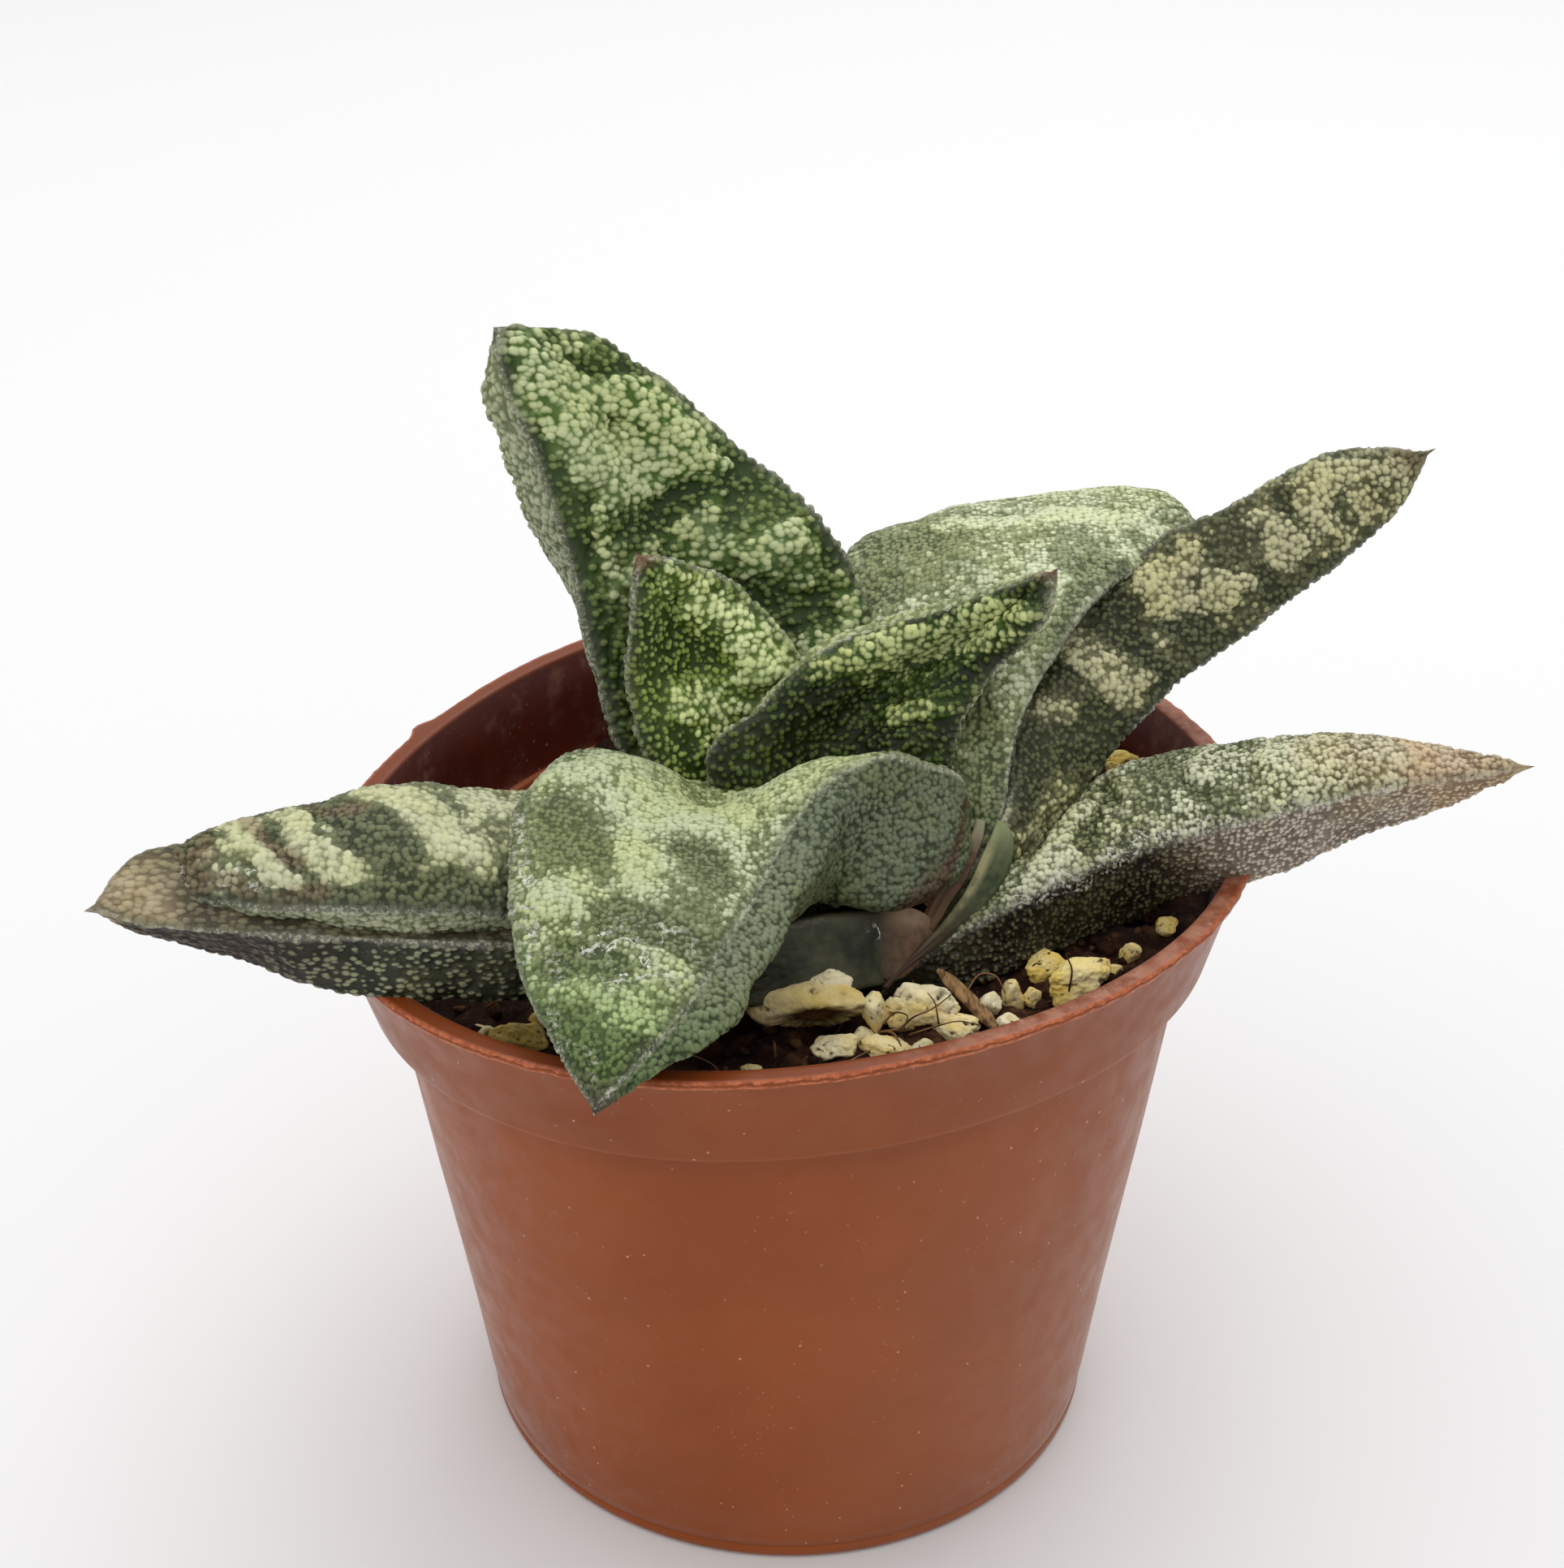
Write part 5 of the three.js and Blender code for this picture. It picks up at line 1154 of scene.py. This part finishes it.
def make_fibres():
    """Thin roots and threads that lie on the peat and over the front grains."""
    points, faces = [], []
    for k, (x, y, _) in enumerate(scattered(FIBRE_COUNT, 431, FIBRE_REACH)):
        length, turn = 1.5 + 4.5 * float(hashed(433, k, 1)), 2 * math.pi * float(hashed(433, k, 2))
        bend = 2.4 * (float(hashed(433, k, 3)) - 0.5)
        share = np.linspace(0, 1, FIBRE_STEPS)
        heading = turn + bend * share
        px = x + np.cumsum(np.cos(heading)) * length / FIBRE_STEPS
        py = y + np.cumsum(np.sin(heading)) * length / FIBRE_STEPS
        lift = 0.45 + 0.9 * float(hashed(433, k, 4)) * np.sin(math.pi * share)
        if np.hypot(px, py).max() < FIBRE_REACH + 0.5:
            path = np.stack([px, py, soil_top(px, py) + lift], -1)
            add_part(points, faces, *fibre(path, 0.09 + 0.08 * float(hashed(433, k, 5))))
    for knots in FRONT_THREADS:
        add_part(points, faces, *fibre(through(knots, np.linspace(0, 1, THREAD_STEPS)), THREAD_RADIUS))
    paint = Paint("root_fibre", roughness=0.7, Specular_IOR_Level=0.2)
    body = paint.mix(paint.band(paint.noise(6, 2), 0.4, 0.6), srgb(60, 36, 22), srgb(150, 110, 72))
    paint.bump(paint.noise(0.4, 2), 0.05, 0.5)
    return carried(mesh_object("root_threads", np.vstack(points), faces, paint.done(body)), "peat")


# ---- sheaths at the crown -----------------------------------------------
# Thin leaf bases that wrap each other: margins from the top down, thickness, pairs of display colours along
# the left margin (rim) and over the rest (face), and the colours of the upper end (head) and the lower (foot).
# On sheath_green the pale rim colours are a painted highlight along its rounded left edge.
SHEATHS = {
    # painted highlight: this sheath's pale rim colours stand for light along its rounded left edge
    "sheath_green": dict(
        left=[(17.9, -11.8, 71.0), (17.4, -12.8, 70.1), (16.7, -13.8, 69.0), (15.9, -14.9, 67.5),
              (14.9, -16.1, 66.0), (13.7, -17.2, 64.7), (12.3, -18.3, 63.4), (10.8, -19.3, 62.2), (9.2, -20.7, 61.3),
              (7.9, -22.2, 60.4)],
        right=[(18.3, -11.6, 70.9), (19.3, -11.9, 69.7), (19.4, -12.8, 68.0), (18.7, -14.2, 66.5),
               (17.5, -15.8, 65.3), (16.1, -16.9, 64.2), (14.1, -17.8, 62.9), (11.9, -19.0, 61.8),
               (9.8, -20.5, 61.0), (8.2, -22.1, 60.1)], thickness=0.6, rim=((164, 158, 116), (104, 106, 70)),
        face=((76, 84, 54), (50, 60, 34)), foot=(72, 54, 42), head=(136, 146, 104), slot="leaf_upper_right_skin"),
    "sheath_brown": dict(
        left=[(16.1, -11.6, 71.1), (15.6, -12.8, 70.0), (14.7, -13.9, 68.7), (13.8, -14.8, 67.3),
              (12.6, -15.5, 65.8), (11.8, -16.0, 64.6), (11.2, -16.9, 63.8)],
        right=[(16.9, -11.8, 70.9), (16.6, -12.9, 69.6), (15.9, -14.2, 68.2), (15.0, -15.3, 66.7),
               (13.9, -16.1, 65.2), (13.1, -16.9, 64.0), (12.4, -17.5, 63.1)], thickness=0.4,
        rim=((164, 138, 110), (112, 88, 66)), face=((104, 78, 56), (74, 56, 38)), foot=(112, 84, 60),
        head=(150, 146, 116), slot="leaf_upper_right_skin"),
    "sheath_edge": dict(
        left=[(15.0, -11.3, 71.3), (14.8, -12.3, 69.9), (14.1, -13.3, 68.6), (13.2, -14.2, 67.2),
              (12.2, -15.0, 65.9), (11.4, -15.6, 64.9)],
        right=[(15.7, -11.6, 71.5), (15.5, -12.7, 70.1), (14.6, -13.7, 68.8), (13.7, -14.6, 67.3),
               (12.7, -15.3, 65.8), (11.8, -16.0, 64.7)], thickness=0.3, rim=((92, 66, 48), (70, 46, 32)),
        face=((124, 92, 70), (96, 66, 50)), foot=(96, 68, 48), head=(96, 96, 64), slot="leaf_upper_right_skin"),
    "sheath_papery": dict(
        left=[(12.5, -17.1, 63.0), (11.9, -16.8, 64.2), (10.5, -17.2, 65.3), (8.7, -17.9, 66.0), (7.3, -18.4, 65.8),
              (6.1, -19.2, 65.1)],
        right=[(12.5, -17.3, 62.8), (11.7, -18.5, 61.5), (10.4, -20.2, 60.6), (8.9, -21.4, 60.5), (7.4, -21.3, 61.0),
               (6.1, -20.9, 62.5)], thickness=0.4, rim=((176, 150, 122), (140, 114, 88)),
        face=((122, 96, 74), (96, 72, 54)), foot=(66, 58, 41), head=(150, 120, 92), slot="leaf_left_lower_skin"),
}


def sheath_material(name, sheath):
    """Veined skin with a paler rim, a head and a foot."""
    paint = Paint(name + "_skin", roughness=0.5, Specular_IOR_Level=0.3)
    over, down, _, _ = paint.layer("sheath")
    veins = paint.noise(0.7, 4, 0.65)
    face = paint.mix(paint.band(veins, 0.35, 0.65), *[srgb(*colour) for colour in sheath["face"]])
    rim = paint.mix(paint.band(paint.noise(2.2, 3), 0.4, 0.65), *[srgb(*colour) for colour in sheath["rim"]])
    body = paint.mix(paint.band(over, 0.12, 0.4), rim, face)
    body = paint.mix(paint.band(down, 0.35, 0.0), body, srgb(*sheath["head"]))
    body = paint.mix(paint.band(down, 0.35, 0.85), body, srgb(*sheath["foot"]))
    paint.bump(veins, 0.1, 0.6)
    return paint.done(body)


def make_sheath(name, sheath):
    """A thin, slightly ridged leaf base between its two margins."""
    rows, sides = 90, 40
    t = np.linspace(0, 1, rows)
    left, right = through(sheath["left"], t), through(sheath["right"], t)
    middle, half = (left + right) / 2, (right - left) / 2
    along = np.gradient(middle, axis=0)
    out = np.cross(along, half)
    out /= np.linalg.norm(out, axis=1, keepdims=True)
    angle = full_turn(sides)
    u, v = np.cos(angle), np.sign(np.sin(angle)) * np.abs(np.sin(angle)) ** 0.6
    rise = 0.5 * sheath["thickness"] * v
    points = middle[:, None] + half[:, None] * u[None, :, None] + out[:, None] * rise[None, :, None]
    across = (u[None] + 1) / 2 * np.ones((rows, 1))
    ridges = 0.05 * cloud(np.stack([across * 9, t[:, None] * 4 + 0 * across], -1), 611, 3)
    points = (points + out[:, None] * ridges[..., None]).reshape(-1, 3)
    layer = np.stack([across, t[:, None] + 0 * across, 0 * across, 0 * across + 1], -1).reshape(-1, 4)
    obj = mesh_object(name, points, tube_faces(rows, sides), sheath_material(name, sheath), layers={"sheath": layer})
    return carried(obj, sheath["slot"])


# ---- floor, light and camera --------------------------------------------
def make_studio():
    """A pale floor, a white sky and two softboxes."""
    floor_paint = Paint("studio_floor", roughness=0.7)
    cloudy = floor_paint.noise(400, 2)
    floor_material = floor_paint.done(floor_paint.mix(cloudy, *FLOOR_SHADES))
    corners = [(x * FLOOR_REACH, y * FLOOR_REACH, 0) for x, y in ((-1, -1), (1, -1), (1, 1), (-1, 1))]
    floor = mesh_object("studio_floor", corners, [(0, 1, 2, 3)], floor_material, smooth=False)
    world = bpy.data.worlds.new("studio")
    world.use_nodes = True
    sky = Nodes(world.node_tree)
    height = sky.split(world.node_tree.nodes.new("ShaderNodeTexCoord").outputs["Generated"])[2]
    seen = world.node_tree.nodes.new("ShaderNodeLightPath").outputs["Is Camera Ray"]
    glow = sky.band(height, 0.0, 0.9, HORIZON_GLOW, ZENITH_GLOW)
    sky.put(world.node_tree.nodes["Background"].inputs[0], (1.0, 1.0, 1.0))
    sky.put(world.node_tree.nodes["Background"].inputs[1], sky.math("MAXIMUM", glow, sky.times(seen, BACKDROP_GLOW)))
    bpy.context.scene.world = world
    for name, place, aim, size, power in SOFTBOXES:
        light = bpy.data.lights.new(name, "AREA")
        light.shape, light.size, light.energy = "SQUARE", size, power
        lamp = bpy.data.objects.new(name, light)
        lamp.location = place
        lamp.rotation_euler = (Vector(aim) - Vector(place)).to_track_quat("-Z", "Y").to_euler()
        bpy.context.scene.collection.objects.link(lamp)
    bpy.context.scene.view_settings.view_transform = "Standard"


def make_camera():
    """The photograph's view of the part."""
    forward = Vector((math.sin(CAMERA_YAW) * math.cos(CAMERA_PITCH), math.cos(CAMERA_YAW) * math.cos(CAMERA_PITCH),
                      -math.sin(CAMERA_PITCH)))
    level = Vector((math.cos(CAMERA_YAW), -math.sin(CAMERA_YAW), 0))
    upright = level.cross(forward)
    right = math.cos(CAMERA_ROLL) * level + math.sin(CAMERA_ROLL) * upright
    up = math.cos(CAMERA_ROLL) * upright - math.sin(CAMERA_ROLL) * level
    data = bpy.data.cameras.new("camera")
    data.lens, data.sensor_width, data.sensor_fit = CAMERA_LENS, CAMERA_SENSOR, "AUTO"
    data.clip_start, data.clip_end = 0.01, 20
    camera = bpy.data.objects.new("camera", data)
    turn = Matrix((right, up, -forward)).transposed().to_4x4()
    camera.matrix_world = Matrix.Translation(Vector(CAMERA_PLACE) * MM) @ turn
    bpy.context.scene.collection.objects.link(camera)
    bpy.context.scene.camera = camera


make_studio()
make_camera()
make_pot()
make_soil()
make_pumice()
make_splinter()
make_stem()
make_crumbs()
make_fibres()
for sheath_name, sheath_form in SHEATHS.items():
    make_sheath(sheath_name, sheath_form)
for order, leaf_name in enumerate(LEAVES):
    make_leaf(leaf_name, FIRST_LEAF_SEED + LEAF_SEED_STEP * order)
